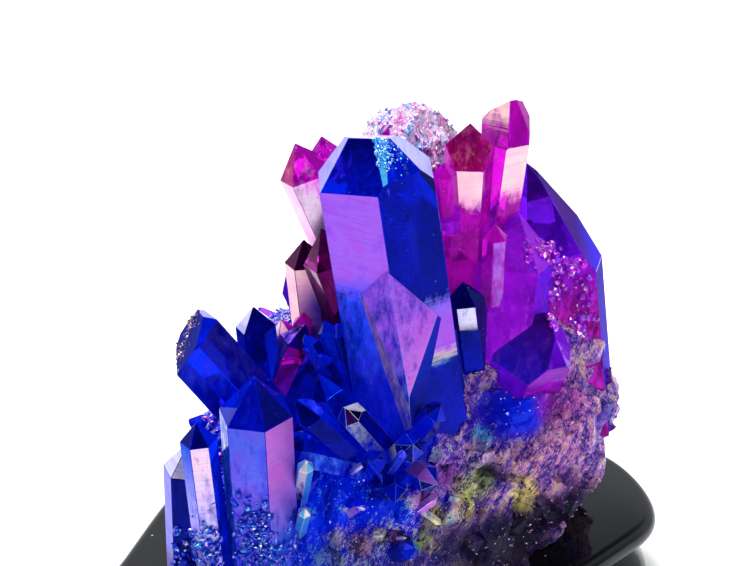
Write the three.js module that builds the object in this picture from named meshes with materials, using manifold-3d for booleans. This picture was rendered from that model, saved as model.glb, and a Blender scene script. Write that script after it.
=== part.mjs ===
// Aura quartz cluster on a black lacquered stand.
//
// Units are millimetres, +Z is up.  The origin is the middle of the stand's box, on the
// surface that the stand rests on.  +X runs along the stand, and -Y is the front, where the
// largest crystal stands.
//
// Two meshes are made: quartz_cluster (the rock and every crystal grown on it, one solid)
// and display_stand (the carved black stand, one solid).

import * as THREE from 'three';
import { mergeVertices } from 'three/addons/utils/BufferGeometryUtils.js';
import Module from 'manifold-3d';

// ---------------------------------------------------------------- driving dimensions

const STAND_HEIGHT = 24;
const PLATE_THICKNESS = 7;
const PLATE_ROUND = 3;       // how far the plate's rounded edge bulges out
const WAIST_HEIGHT = 15;     // where the neck under the plate is narrowest
const WAIST_INSET = 8.5;     // how far the neck is set in from the plate's edge
const PLINTH_INSET = 1.5;    // how far the foot is set in from the plate's edge
const FOOT_HEIGHT = 4;       // top of the plinth's straight foot
const FOOT_BEVEL = 1;
const REST_GAP = 0.3;        // between the stand's top and the cluster's underside

// Plan of the plate's edge, anticlockwise from the rounded nose on the right.
const STAND_OUTLINE = [
  [76.3, 10], [66.5, 34], [40, 47.5], [2, 51], [-34, 44], [-53.5, 23],
  [-67, -13], [-75, -36], [-60, -51], [-20, -50.5], [33, -32], [65.5, -7],
];
const OUTLINE_STEPS = 48;
const BULLNOSE_STEPS = 6;
const OGEE_STEPS = 4;

// The rock that the crystals grow from: rounded masses that share one middle.
const ROCK_MIDDLE = [4, 12, 54];
const ROCK_MASSES = [
  { name: 'base', at: [-5, 3, 28], radii: [46, 40, 38] },
  { name: 'right flank', at: [31, 16, 58], radii: [29, 25, 47] },
  { name: 'right front', at: [24, 2, 52], radii: [32, 24, 28] },
  { name: 'back dome', at: [7, 25, 84], radii: [23, 19.5, 49.5] },
  { name: 'left shoulder', at: [-14, 12, 46], radii: [28, 30, 36] },
  { name: 'front step', at: [6, -4, 45], radii: [26, 28, 34] },
];
const ROCK_BLEND = 9;        // higher is a sharper crease where two masses meet
const ROCK_LUMP = 1.5;       // height of the lumps on the rock
const ROCK_DETAIL = 8;

// The angle between a quartz tip face's normal and the crystal's axis.
const TIP_FACE_ANGLE = THREE.MathUtils.degToRad(51.8);

// Natural unevenness of the smaller crystals, and how deep they are rooted in the rock,
// as shares of a crystal's width.
const TIP_UNEVENNESS = 0.14;
const ROOT_DEPTH = 0.7;
// How far a fan crystal's width strays from its fan's width, as a share of it.
const FAN_WIDTH_SPREAD = 0.15;
// How far a grown crystal's heading strays, as a share of its length.
const HEADING_SPREAD = 0.25;

// Large crystals.  foot is the middle of the buried end, tip is where the axis leaves the
// point, width is across flats, and turn (degrees) swings the six sides round the axis: 0
// sets a flat side to the front and 30 sets an edge there.  caps moves each tip face
// outwards by that share of the width, which makes it smaller, and sides does the same for
// the side faces.  Both lists start at the side that turn names and go anticlockwise.
// breaks are flat breaks: a point on the break and the way that it faces.
const LARGE_CRYSTALS = [
  {
    name: 'main',
    foot: [9.8, -12, 59],
    tip: [-2.6, -6, 148],
    width: 26.5,
    turn: 33,
    caps: [0.11, 0.03, 0, 0, 0.05, 0.06],
    breaks: [
      { at: [-1, -12.4, 144.8], facing: [0, 0.37, 0.93] },
      { at: [10.6, -15.5, 135.4], facing: [0.72, -0.62, 0.31] },
    ],
  },
  {
    name: 'front twin',
    foot: [14, -18.5, 66],
    tip: [2.4, -19.5, 120.5],
    width: 24,
    turn: 2,
    caps: [0.3, 0.3, 0.3, 0.3, 0.3, 0.3],
    breaks: [
      { at: [2.3, -24.2, 116.8], facing: [-0.515, -0.857, 0.013] },
      { at: [2.3, -24.2, 116.8], facing: [0.578, -0.795, 0.183] },
      { at: [-3.1, -21, 109.6], facing: [-0.648, 0.38, 0.66] },
      { at: [14.2, -18.9, 102.1], facing: [0.648, 0.373, 0.664] },
      { at: [5.1, -26.3, 87.6], facing: [-0.734, -0.668, -0.125] },
      { at: [8.4, -26.6, 86.7], facing: [0.765, -0.643, 0.034] },
    ],
  },
  {
    name: 'tall magenta',
    foot: [25.5, 10, 80],
    tip: [31.3, 9, 145],
    width: 11.6,
    turn: 30,
    caps: [-0.13, 0.62, 0.42, 0.02, 0.06, -0.16],
    breaks: [{ at: [36.9, 7, 135.5], facing: [0.8, -0.3, 0.52] }],
  },
  {
    name: 'second magenta',
    foot: [20, 4, 84],
    tip: [22, 3, 142],
    width: 10.4,
    turn: 0,
    caps: [-0.32, 0.05, 0, 0.2, 0, 0.05],
    sides: [-0.08, 0, 0, 0, 0, 0],
  },
  { name: 'thin magenta', foot: [18.5, 0, 95], tip: [15.5, -2, 134], width: 5.2, turn: 0 },
  {
    name: 'stub',
    foot: [8, -3, 116.5],
    tip: [30, -1, 119.8],
    width: 5.8,
    turn: 0,
    breaks: [{ at: [20, -2, 118], facing: [1, -0.1, 0.1] }],
  },
  { name: 'small magenta', foot: [28, -4, 97], tip: [28, -4, 118.5], width: 5.6, turn: 20 },
  {
    name: 'right back',
    foot: [46, 14, 50],
    tip: [37, 20, 123],
    width: 32,
    turn: 20,
    breaks: [{ at: [48.4, 20, 108], facing: [0.82, 0, 0.57] }],
  },
  { name: 'right middle', foot: [29.5, -2, 56], tip: [34, 6, 117], width: 19.5, turn: 0 },
  {
    name: 'right front',
    foot: [31, 4, 52],
    tip: [41, -8, 96.5],
    width: 19,
    turn: 24,
    caps: [0.05, 0, 0, 0, 0, -0.1],
  },
  { name: 'dark wedge', foot: [25.5, -4, 68], tip: [20.5, -8, 105], width: 8, turn: 0 },
  {
    name: 'broken magenta',
    foot: [-6.6, 8, 100],
    tip: [-19.8, 8, 134],
    width: 12.5,
    turn: 0,
    breaks: [{ at: [-15.8, 8, 133], facing: [0.25, -0.2, 0.95] }],
  },
  { name: 'small maroon', foot: [-9.5, 10, 115], tip: [-13.5, 10, 135], width: 7, turn: 0 },
  { name: 'maroon', foot: [-15.5, 2, 81], tip: [-18, 3, 110.5], width: 9.3, turn: 0 },
  { name: 'dark purple', foot: [-2, -4, 82], tip: [-13.5, -3, 116.8], width: 12.8, turn: 0 },
  {
    name: 'broken blue',
    foot: [-23, -12, 59.5],
    tip: [-51.7, -14, 101],
    width: 16,
    turn: 0,
    breaks: [
      { at: [-44.5, -14, 93.7], facing: [-0.85, -0.1, 0.5] },
      { at: [-45.2, -14, 81], facing: [-0.84, -0.1, -0.53] },
    ],
  },
  { name: 'pink base', foot: [-22, -3, 80], tip: [-23.7, -3, 91.5], width: 5.5, turn: 10 },
  { name: 'magenta base', foot: [-19.5, -3, 81], tip: [-18, -3, 93.3], width: 4.5, turn: 25 },
  { name: 'navy', foot: [-28.5, -8, 74], tip: [-30, -8, 98], width: 8.6, turn: 0 },
  { name: 'pink navy', foot: [-27.5, -8, 68], tip: [-17.5, -6, 92], width: 8.3, turn: 0 },
  { name: 'left front', foot: [-27.8, -30, 26], tip: [-29, -28, 91], width: 15.8, turn: -13 },
  { name: 'left slim', foot: [-39.7, -32, 28], tip: [-42.7, -31, 80], width: 7.8, turn: 8 },
  { name: 'cyan upper', foot: [-18.5, -25, 48], tip: [-17.8, -34, 70.8], width: 3.6, turn: 15 },
  { name: 'cyan lower', foot: [-19.2, -26, 38], tip: [-18, -36, 58.5], width: 3, turn: 0 },
  { name: 'left outer', foot: [-46.8, -24, 25], tip: [-45.8, -22, 68.2], width: 11.7, turn: -8 },
];

// Crystals that spread like a fan from one root.
const FANS = [
  {
    name: 'blue fan',
    root: [-2.3, -18, 65.7],
    width: 4.6,
    tips: [[-17.4, -14, 93.6], [-12.6, -12, 96], [-9.5, -13, 96], [-13.8, -18, 90.6]],
  },
  {
    name: 'lower fan',
    root: [-1.8, -22, 61],
    width: 9,
    tips: [[-14.2, -21, 86.9], [-18.5, -25, 81.6], [-24, -26, 70]],
  },
  {
    name: 'front nest',
    root: [4, -22, 62],
    width: 6,
    tips: [
      [-7.7, -31, 84.2], [-2, -36, 72], [8, -35, 76], [15, -30, 84], [14, -36, 66], [4, -38, 62],
    ],
  },
];

// Crystals grown out of the rock at seeded places.  azimuth is in degrees anticlockwise
// from +X, rise in degrees above level, and lean bends each crystal away from straight out.
const GROWN_SETS = [
  {
    name: 'back points',
    count: 15,
    azimuth: [40, 165],
    rise: [-8, 66],
    length: [6, 11],
    width: [8, 12],
    lean: [0, 0, 0.9],
  },
  {
    name: 'top crust',
    count: 9,
    azimuth: [20, 200],
    rise: [50, 84],
    length: [0.8, 2],
    width: [4, 7],
    lean: [0, 0, 0.2],
  },
  {
    name: 'left points',
    count: 16,
    azimuth: [150, 235],
    rise: [-20, 22],
    length: [3, 8],
    width: [4, 7],
    lean: [0, 0, 0.5],
  },
  {
    name: 'front blades',
    count: 18,
    azimuth: [232, 325],
    rise: [-24, 18],
    length: [5, 9],
    width: [3, 5],
    lean: [0.7, 0, 1.3],
  },
  {
    name: 'right crust',
    count: 10,
    azimuth: [-60, 60],
    rise: [-25, 45],
    length: [1.2, 3],
    width: [4, 8],
    lean: [0.1, 0, 0.5],
  },
];

// ---------------------------------------------------------------- small helpers

const wasm = await Module();
wasm.setup();

// A repeatable number from 0 to 1 for each whole number n.
function scatter(n) {
  const value = Math.sin(n * 127.1 + 11.7) * 43758.5453;
  return value - Math.floor(value);
}

function toSolid(geometry) {
  const bare = geometry.clone();
  bare.deleteAttribute('normal');
  bare.deleteAttribute('uv');
  const merged = mergeVertices(bare, 1e-4);
  return new wasm.Manifold(new wasm.Mesh({
    numProp: 3,
    vertProperties: new Float32Array(merged.getAttribute('position').array),
    triVerts: new Uint32Array(merged.getIndex().array),
  }));
}

function toGeometry(solid) {
  const mesh = solid.getMesh();
  const geometry = new THREE.BufferGeometry();
  geometry.setAttribute('position', new THREE.BufferAttribute(mesh.vertProperties, 3));
  geometry.setIndex(new THREE.BufferAttribute(mesh.triVerts, 1));
  geometry.computeVertexNormals();
  return geometry;
}

// ---------------------------------------------------------------- quartz crystals

// Planes that enclose one quartz point, each as { normal, reach } with the solid on the
// side where normal . point <= reach.
function crystalPlanes({ foot, tip, width, turn, caps = [], sides = [], breaks = [] }) {
  const low = new THREE.Vector3(...foot);
  const high = new THREE.Vector3(...tip);
  const axis = high.clone().sub(low).normalize();
  const across = new THREE.Vector3(1, 0, 0);
  if (Math.abs(axis.x) > 0.9) across.set(0, 0, -1);
  across.addScaledVector(axis, -across.dot(axis)).normalize();
  const away = axis.clone().cross(across);
  const planes = [{ normal: axis.clone().negate(), reach: -axis.dot(low) }];
  for (let i = 0; i < 6; i += 1) {
    const angle = THREE.MathUtils.degToRad(turn - 90 + 60 * i);
    const outward = across.clone().multiplyScalar(Math.cos(angle));
    outward.addScaledVector(away, Math.sin(angle));
    const side = 0.5 + (sides[i] ?? 0);
    planes.push({ normal: outward, reach: outward.dot(low) + side * width });
    const slant = outward.clone().multiplyScalar(Math.sin(TIP_FACE_ANGLE));
    slant.addScaledVector(axis, Math.cos(TIP_FACE_ANGLE));
    planes.push({ normal: slant, reach: slant.dot(high) + (caps[i] ?? 0) * width });
  }
  for (const { at, facing } of breaks) {
    const normal = new THREE.Vector3(...facing).normalize();
    planes.push({ normal, reach: normal.dot(new THREE.Vector3(...at)) });
  }
  return planes;
}

// The point where three planes meet, or null where they don't meet in one point.
function meetingPoint(a, b, c) {
  const bc = b.normal.clone().cross(c.normal);
  const share = a.normal.dot(bc);
  if (Math.abs(share) < 1e-6) return null;
  const point = bc.multiplyScalar(a.reach);
  point.addScaledVector(c.normal.clone().cross(a.normal), b.reach);
  point.addScaledVector(a.normal.clone().cross(b.normal), c.reach);
  return point.divideScalar(share);
}

// Corners and flat faces of the solid that the planes enclose.
function crystalFaces(planes) {
  const corners = [];
  const loops = planes.map(() => new Set());
  for (let i = 0; i < planes.length; i += 1) {
    for (let j = i + 1; j < planes.length; j += 1) {
      for (let k = j + 1; k < planes.length; k += 1) {
        const point = meetingPoint(planes[i], planes[j], planes[k]);
        if (!point) continue;
        if (planes.some(({ normal, reach }) => normal.dot(point) > reach + 1e-5)) continue;
        let index = corners.findIndex((corner) => corner.distanceTo(point) < 1e-3);
        if (index < 0) index = corners.push(point) - 1;
        for (const plane of [i, j, k]) loops[plane].add(index);
      }
    }
  }
  const faces = [];
  loops.forEach((loop, plane) => {
    if (loop.size < 3) return;
    const { normal } = planes[plane];
    const ring = [...loop];
    const middle = new THREE.Vector3();
    for (const index of ring) middle.addScaledVector(corners[index], 1 / ring.length);
    const start = corners[ring[0]].clone().sub(middle).normalize();
    const side = normal.clone().cross(start);
    const angleOf = (index) => {
      const arm = corners[index].clone().sub(middle);
      return Math.atan2(arm.dot(side), arm.dot(start));
    };
    faces.push(ring.sort((a, b) => angleOf(a) - angleOf(b)));
  });
  return { corners, faces };
}

function crystalSolid(crystal) {
  const { corners, faces } = crystalFaces(crystalPlanes(crystal));
  const triangles = [];
  for (const ring of faces) {
    for (let i = 1; i + 1 < ring.length; i += 1) triangles.push(ring[0], ring[i], ring[i + 1]);
  }
  return new wasm.Manifold(new wasm.Mesh({
    numProp: 3,
    vertProperties: new Float32Array(corners.flatMap((corner) => corner.toArray())),
    triVerts: new Uint32Array(triangles),
  }));
}

// ---------------------------------------------------------------- the rock

// How far a ray from the rock's middle goes before it leaves one rounded mass.
function massReach(direction, { at, radii }) {
  let a = 0;
  let b = 0;
  let c = -1;
  const ray = direction.toArray();
  for (let i = 0; i < 3; i += 1) {
    const offset = (ROCK_MIDDLE[i] - at[i]) / radii[i];
    const step = ray[i] / radii[i];
    a += step * step;
    b += step * offset;
    c += offset * offset;
  }
  return (-b + Math.sqrt(b * b - a * c)) / a;
}

// Distance from the rock's middle to its surface along a direction, lumps included.
function rockReach(direction) {
  let total = 0;
  for (const mass of ROCK_MASSES) total += massReach(direction, mass) ** ROCK_BLEND;
  const { x, y, z } = direction;
  const lumps = Math.sin(9 * x + 4 * z) * Math.sin(11 * y - 3 * x) * Math.sin(10 * z + 5 * y)
    + 0.6 * Math.sin(23 * x - 7 * y) * Math.sin(19 * z + 8 * x);
  return total ** (1 / ROCK_BLEND) + ROCK_LUMP * lumps;
}

function rockPoint(direction) {
  return new THREE.Vector3(...ROCK_MIDDLE).addScaledVector(direction, rockReach(direction));
}

function rockSolid() {
  const geometry = new THREE.IcosahedronGeometry(1, ROCK_DETAIL);
  const position = geometry.getAttribute('position');
  const direction = new THREE.Vector3();
  for (let i = 0; i < position.count; i += 1) {
    direction.fromBufferAttribute(position, i).normalize();
    // Directions are rounded so that the copies of one vertex land on one point.
    direction.set(...direction.toArray().map((part) => Math.round(part * 1e6) / 1e6));
    position.setXYZ(i, ...rockPoint(direction).toArray());
  }
  return toSolid(geometry);
}

// ---------------------------------------------------------------- the smaller crystals

// A repeatable number between low and high for each number n.
function pick([low, high], n) {
  return low + (high - low) * scatter(n);
}

// Six small, seeded shares of the width that make every tip a little uneven.
function unevenCaps(n) {
  return Array.from({ length: 6 }, (_, i) => TIP_UNEVENNESS * scatter(n + 0.17 * i));
}

function fanCrystals({ root, width, tips }, number) {
  return tips.map((tip, i) => {
    const n = 40 * (number + 1) + i;
    return {
      foot: root,
      tip,
      width: width * pick([1 - FAN_WIDTH_SPREAD, 1 + FAN_WIDTH_SPREAD], n),
      turn: pick([0, 60], n + 0.5),
      caps: unevenCaps(n),
    };
  });
}

function grownCrystals(set, number) {
  const lean = new THREE.Vector3(...set.lean);
  return Array.from({ length: set.count }, (_, i) => {
    const n = 100 * (number + 1) + i;
    const azimuth = THREE.MathUtils.degToRad(pick(set.azimuth, n + 0.11));
    const rise = THREE.MathUtils.degToRad(pick(set.rise, n + 0.23));
    const outward = new THREE.Vector3(Math.cos(azimuth), Math.sin(azimuth), Math.tan(rise));
    outward.normalize();
    const width = pick(set.width, n + 0.37);
    const root = rockPoint(outward);
    const heading = outward.clone().add(lean);
    heading.x += pick([-HEADING_SPREAD, HEADING_SPREAD], n + 0.41);
    heading.y += pick([-HEADING_SPREAD, HEADING_SPREAD], n + 0.53);
    heading.normalize();
    return {
      foot: root.clone().addScaledVector(heading, -ROOT_DEPTH * width).toArray(),
      tip: root.clone().addScaledVector(heading, pick(set.length, n + 0.61)).toArray(),
      width,
      turn: pick([0, 60], n + 0.73),
      caps: unevenCaps(n),
    };
  });
}

// ---------------------------------------------------------------- the cluster

function clusterGeometry() {
  const crystals = [
    ...LARGE_CRYSTALS,
    ...FANS.flatMap(fanCrystals),
    ...GROWN_SETS.flatMap(grownCrystals),
  ];
  const joined = wasm.Manifold.union([rockSolid(), ...crystals.map(crystalSolid)]);
  return toGeometry(joined.trimByPlane([0, 0, 1], STAND_HEIGHT + REST_GAP));
}

// ---------------------------------------------------------------- the stand

function standGeometry() {
  const points = STAND_OUTLINE.map(([x, y]) => new THREE.Vector3(x, y, 0));
  const curve = new THREE.CatmullRomCurve3(points, true, 'catmullrom', 0.5);
  const profile = [];
  const half = PLATE_THICKNESS / 2;
  for (let i = 0; i <= BULLNOSE_STEPS; i += 1) {
    const angle = Math.PI * (0.5 - i / BULLNOSE_STEPS);
    const inset = PLATE_ROUND * (1 - Math.cos(angle));
    profile.push([inset, STAND_HEIGHT - half + half * Math.sin(angle)]);
  }
  profile.push([WAIST_INSET, WAIST_HEIGHT]);
  for (let i = 1; i <= OGEE_STEPS; i += 1) {
    const t = i / OGEE_STEPS;
    const ease = t * t * (3 - 2 * t);
    const z = WAIST_HEIGHT + (FOOT_HEIGHT - WAIST_HEIGHT) * t;
    profile.push([WAIST_INSET + (PLINTH_INSET - WAIST_INSET) * ease, z]);
  }
  profile.push([PLINTH_INSET, FOOT_BEVEL], [PLINTH_INSET + FOOT_BEVEL, 0]);

  const positions = [];
  for (const [inset, z] of profile) {
    for (let i = 0; i < OUTLINE_STEPS; i += 1) {
      const point = curve.getPoint(i / OUTLINE_STEPS);
      const tangent = curve.getTangent(i / OUTLINE_STEPS);
      positions.push(point.x - inset * tangent.y, point.y + inset * tangent.x, z);
    }
  }
  const triangles = [];
  for (let ring = 0; ring + 1 < profile.length; ring += 1) {
    for (let i = 0; i < OUTLINE_STEPS; i += 1) {
      const next = (i + 1) % OUTLINE_STEPS;
      const a = ring * OUTLINE_STEPS + i;
      const b = ring * OUTLINE_STEPS + next;
      const c = a + OUTLINE_STEPS;
      const d = b + OUTLINE_STEPS;
      triangles.push(a, c, d, a, d, b);
    }
  }
  // The flat top and the flat underside, triangulated from the first and last rings.
  const ringFrom = (first) => Array.from({ length: OUTLINE_STEPS }, (_, i) => (
    new THREE.Vector2(positions[3 * (first + i)], positions[3 * (first + i) + 1])));
  const last = (profile.length - 1) * OUTLINE_STEPS;
  for (const [a, b, c] of THREE.ShapeUtils.triangulateShape(ringFrom(0), [])) {
    triangles.push(a, b, c);
  }
  for (const [a, b, c] of THREE.ShapeUtils.triangulateShape(ringFrom(last), [])) {
    triangles.push(last + a, last + c, last + b);
  }
  const geometry = new THREE.BufferGeometry();
  geometry.setAttribute('position', new THREE.Float32BufferAttribute(positions, 3));
  geometry.setIndex(triangles);
  geometry.computeBoundingBox();
  const middle = geometry.boundingBox.getCenter(new THREE.Vector3());
  geometry.translate(-middle.x, -middle.y, 0);
  geometry.computeVertexNormals();
  return geometry;
}

// ---------------------------------------------------------------- the scene graph

const quartz = new THREE.MeshStandardMaterial({ color: 0x3c22c8, roughness: 0.12, metalness: 0.2 });
const lacquer = new THREE.MeshStandardMaterial({ color: 0x08080a, roughness: 0.08, metalness: 0 });

const cluster = new THREE.Mesh(clusterGeometry(), quartz);
cluster.name = 'quartz_cluster';

const stand = new THREE.Mesh(standGeometry(), lacquer);
stand.name = 'display_stand';

const model = new THREE.Group();
model.add(stand, cluster);

export default model;
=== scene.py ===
"""Finished surfaces of an aura quartz cluster on its black lacquered stand.

Lengths in the tables are millimetres in the part's own frame: the origin is the middle of
the stand's underside, +X runs along the stand, -Y is the front and +Z is up.  Meshes and
the sizes of patterns in the finishes are in metres.  Angles are degrees unless a name says
otherwise.
"""
import math
from itertools import combinations

import bmesh
import bpy
import numpy as np
from bpy.props import FloatProperty, FloatVectorProperty, IntProperty, PointerProperty
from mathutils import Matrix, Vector


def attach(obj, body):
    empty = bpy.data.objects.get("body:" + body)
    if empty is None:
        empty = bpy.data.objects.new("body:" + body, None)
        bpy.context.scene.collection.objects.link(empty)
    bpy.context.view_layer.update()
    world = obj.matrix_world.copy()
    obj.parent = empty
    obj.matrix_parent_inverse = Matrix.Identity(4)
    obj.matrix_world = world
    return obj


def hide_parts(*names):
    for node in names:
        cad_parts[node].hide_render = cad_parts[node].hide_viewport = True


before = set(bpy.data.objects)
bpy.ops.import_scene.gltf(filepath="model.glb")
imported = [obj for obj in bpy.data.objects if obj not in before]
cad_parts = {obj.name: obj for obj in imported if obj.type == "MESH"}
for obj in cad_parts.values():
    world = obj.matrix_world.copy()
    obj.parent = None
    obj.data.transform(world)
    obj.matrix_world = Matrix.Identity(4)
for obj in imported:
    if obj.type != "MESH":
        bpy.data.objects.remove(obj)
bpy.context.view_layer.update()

bl_info = {
    "name": "Aura quartz cluster",
    "version": (1, 0, 0),
    "blender": (4, 5, 0),
    "location": "3D View > Sidebar > Aura Quartz",
    "description": "Builds a coated quartz cluster and its lacquered stand",
    "category": "Add Mesh",
}

MM = 0.001

# ------------ colours


def shade(red, green, blue):
    """An opaque linear colour from screen values of 0 to 255."""
    levels = [part / 255 for part in (red, green, blue)]
    return *(v / 12.92 if v <= 0.04045 else ((v + 0.055) / 1.055) ** 2.4
             for v in levels), 1.0


# Tints of the quartz as light comes through it.
BLUE = shade(4, 48, 230)
DEEP = shade(2, 28, 182)
NAVY = shade(5, 12, 92)
INK = shade(3, 4, 34)
VIOLET = shade(112, 26, 236)
PURPLE = shade(170, 30, 228)
MAGENTA = shade(200, 24, 196)
CRIMSON = shade(176, 12, 92)
MAROON = shade(70, 4, 58)
PLUM = shade(52, 14, 96)
ROSE = shade(226, 120, 200)

# Colours of the coating where it mirrors a white room.
LAVENDER = shade(122, 94, 212)
ORCHID = shade(168, 88, 206)
PINK = shade(214, 120, 192)
PEACH = shade(242, 206, 202)
CREAM = shade(238, 226, 196)
GOLD = shade(236, 220, 128)
CYAN = shade(70, 200, 232)
SKY = shade(90, 130, 236)
LILAC = shade(206, 190, 228)
PEARL = shade(232, 226, 238)
TAN = shade(196, 150, 186)
MAUVE = shade(142, 76, 186)
GRAPE = shade(88, 36, 160)
DUSK = shade(78, 84, 190)
ROYAL = shade(0, 60, 236)
TEAL = shade(14, 96, 176)
MOSS = shade(190, 206, 130)

# ------------ looks of faces

# Each value of a look runs from the foot to the tip: tint is the colour of the quartz, film
# the coating's own colour, and share how much of a face the coating hides.  fade says where
# between foot and tip, from 0 to 1, the change happens, and foot how far up the coating
# begins, with a rainbow along its lower edge.


def coat(low, high, share, last_share=None, **more):
    """A look given by its coating; the share stays the same unless there are two."""
    shares = (share, share if last_share is None else last_share)
    return {"film": (low, high), "share": shares, **more}


def even(film, share, **more):
    """A look given by a coating of one colour."""
    return coat(film, film, share, **more)


def stone(low, high, **more):
    """A look given by its quartz."""
    return {"tint": (low, high), **more}


LOOKS = {
    "blue": even(SKY, 0.05, tint=(BLUE, BLUE), family=0),
    "navy": coat(SKY, LILAC, 0.05, 0.03, tint=(DEEP, NAVY), family=0),
    "cyan": coat(SKY, CYAN, 0.3, 0.85, tint=(BLUE, BLUE), family=0),
    "violet": coat(ORCHID, SKY, 0.06, tint=(VIOLET, VIOLET), family=1),
    "purple": even(ORCHID, 0.06, tint=(PURPLE, PURPLE), family=1),
    "magenta": coat(PINK, PEACH, 0.05, tint=(MAGENTA, MAGENTA), family=2),
    "maroon": coat(PINK, PEACH, 0.06, 0.05, tint=(MAROON, MAROON), family=2),
    "crust": even(TAN, 0.5, tint=(PLUM, PURPLE), family=3),
}
DARK = stone(DEEP, NAVY)
# The usual coating of the strips along the edges, in part a painted highlight on them.
EDGE_SHEEN = coat(SKY, LAVENDER, 0.12, 0.2)

# Families of coated quartz: what the quartz mirrors face on and the coating at its edges,
# the wisps inside the quartz, the ripples of the coating, and the colours that its film
# shifts through.  The rock's own finish is the fourth.
FAMILIES = {
    "blue quartz": ((0.01, 0.06, 1.0), (0.06, 0.2, 1.0), shade(20, 60, 240),
                    shade(70, 60, 200), (BLUE, SKY, LAVENDER, ORCHID)),
    "violet quartz": ((0.35, 0.03, 1.0), (0.25, 0.06, 1.0), shade(190, 40, 240),
                      shade(120, 30, 210), (BLUE, LAVENDER, ORCHID, PINK)),
    "magenta quartz": ((1.0, 0.05, 0.8), (1.0, 0.5, 0.9), shade(240, 70, 200),
                       shade(206, 90, 190), (ORCHID, PINK, PEACH, CREAM)),
}

# ------------ crystals

# The angle between a quartz tip face's normal and the crystal's axis.
TIP_FACE_ANGLE = math.radians(51.8)


def crystal(name, foot, tip, width, turn, look, caps=(0,) * 6, sides=(0,) * 6, breaks=(),
            edge_sheen=EDGE_SHEEN, wear=None, **faces):
    """The facts of one quartz point.

    foot is the middle of the buried end, tip is where the axis leaves the point, width is
    across flats, and turn swings the six sides round the axis: 0 sets a flat side to the
    front.  caps and sides move each tip face and side face outwards by that share of the
    width.  breaks are flat breaks: a point on the break and the way that it faces.  The
    edge look is the coating of the bevelled strips along the edges, pale in part as a
    painted highlight on them, and wear their width, where it isn't the usual one.  The rest
    is what differs from the crystal's look on the side, tip face or break that it names;
    side and tip numbers start at the front and go anticlockwise."""
    return {"name": name, "foot": foot, "tip": tip, "width": width, "turn": turn,
            "look": look, "caps": caps, "sides": sides, "breaks": breaks, "edge_sheen": edge_sheen,
            "wear": wear, "faces": faces}


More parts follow.
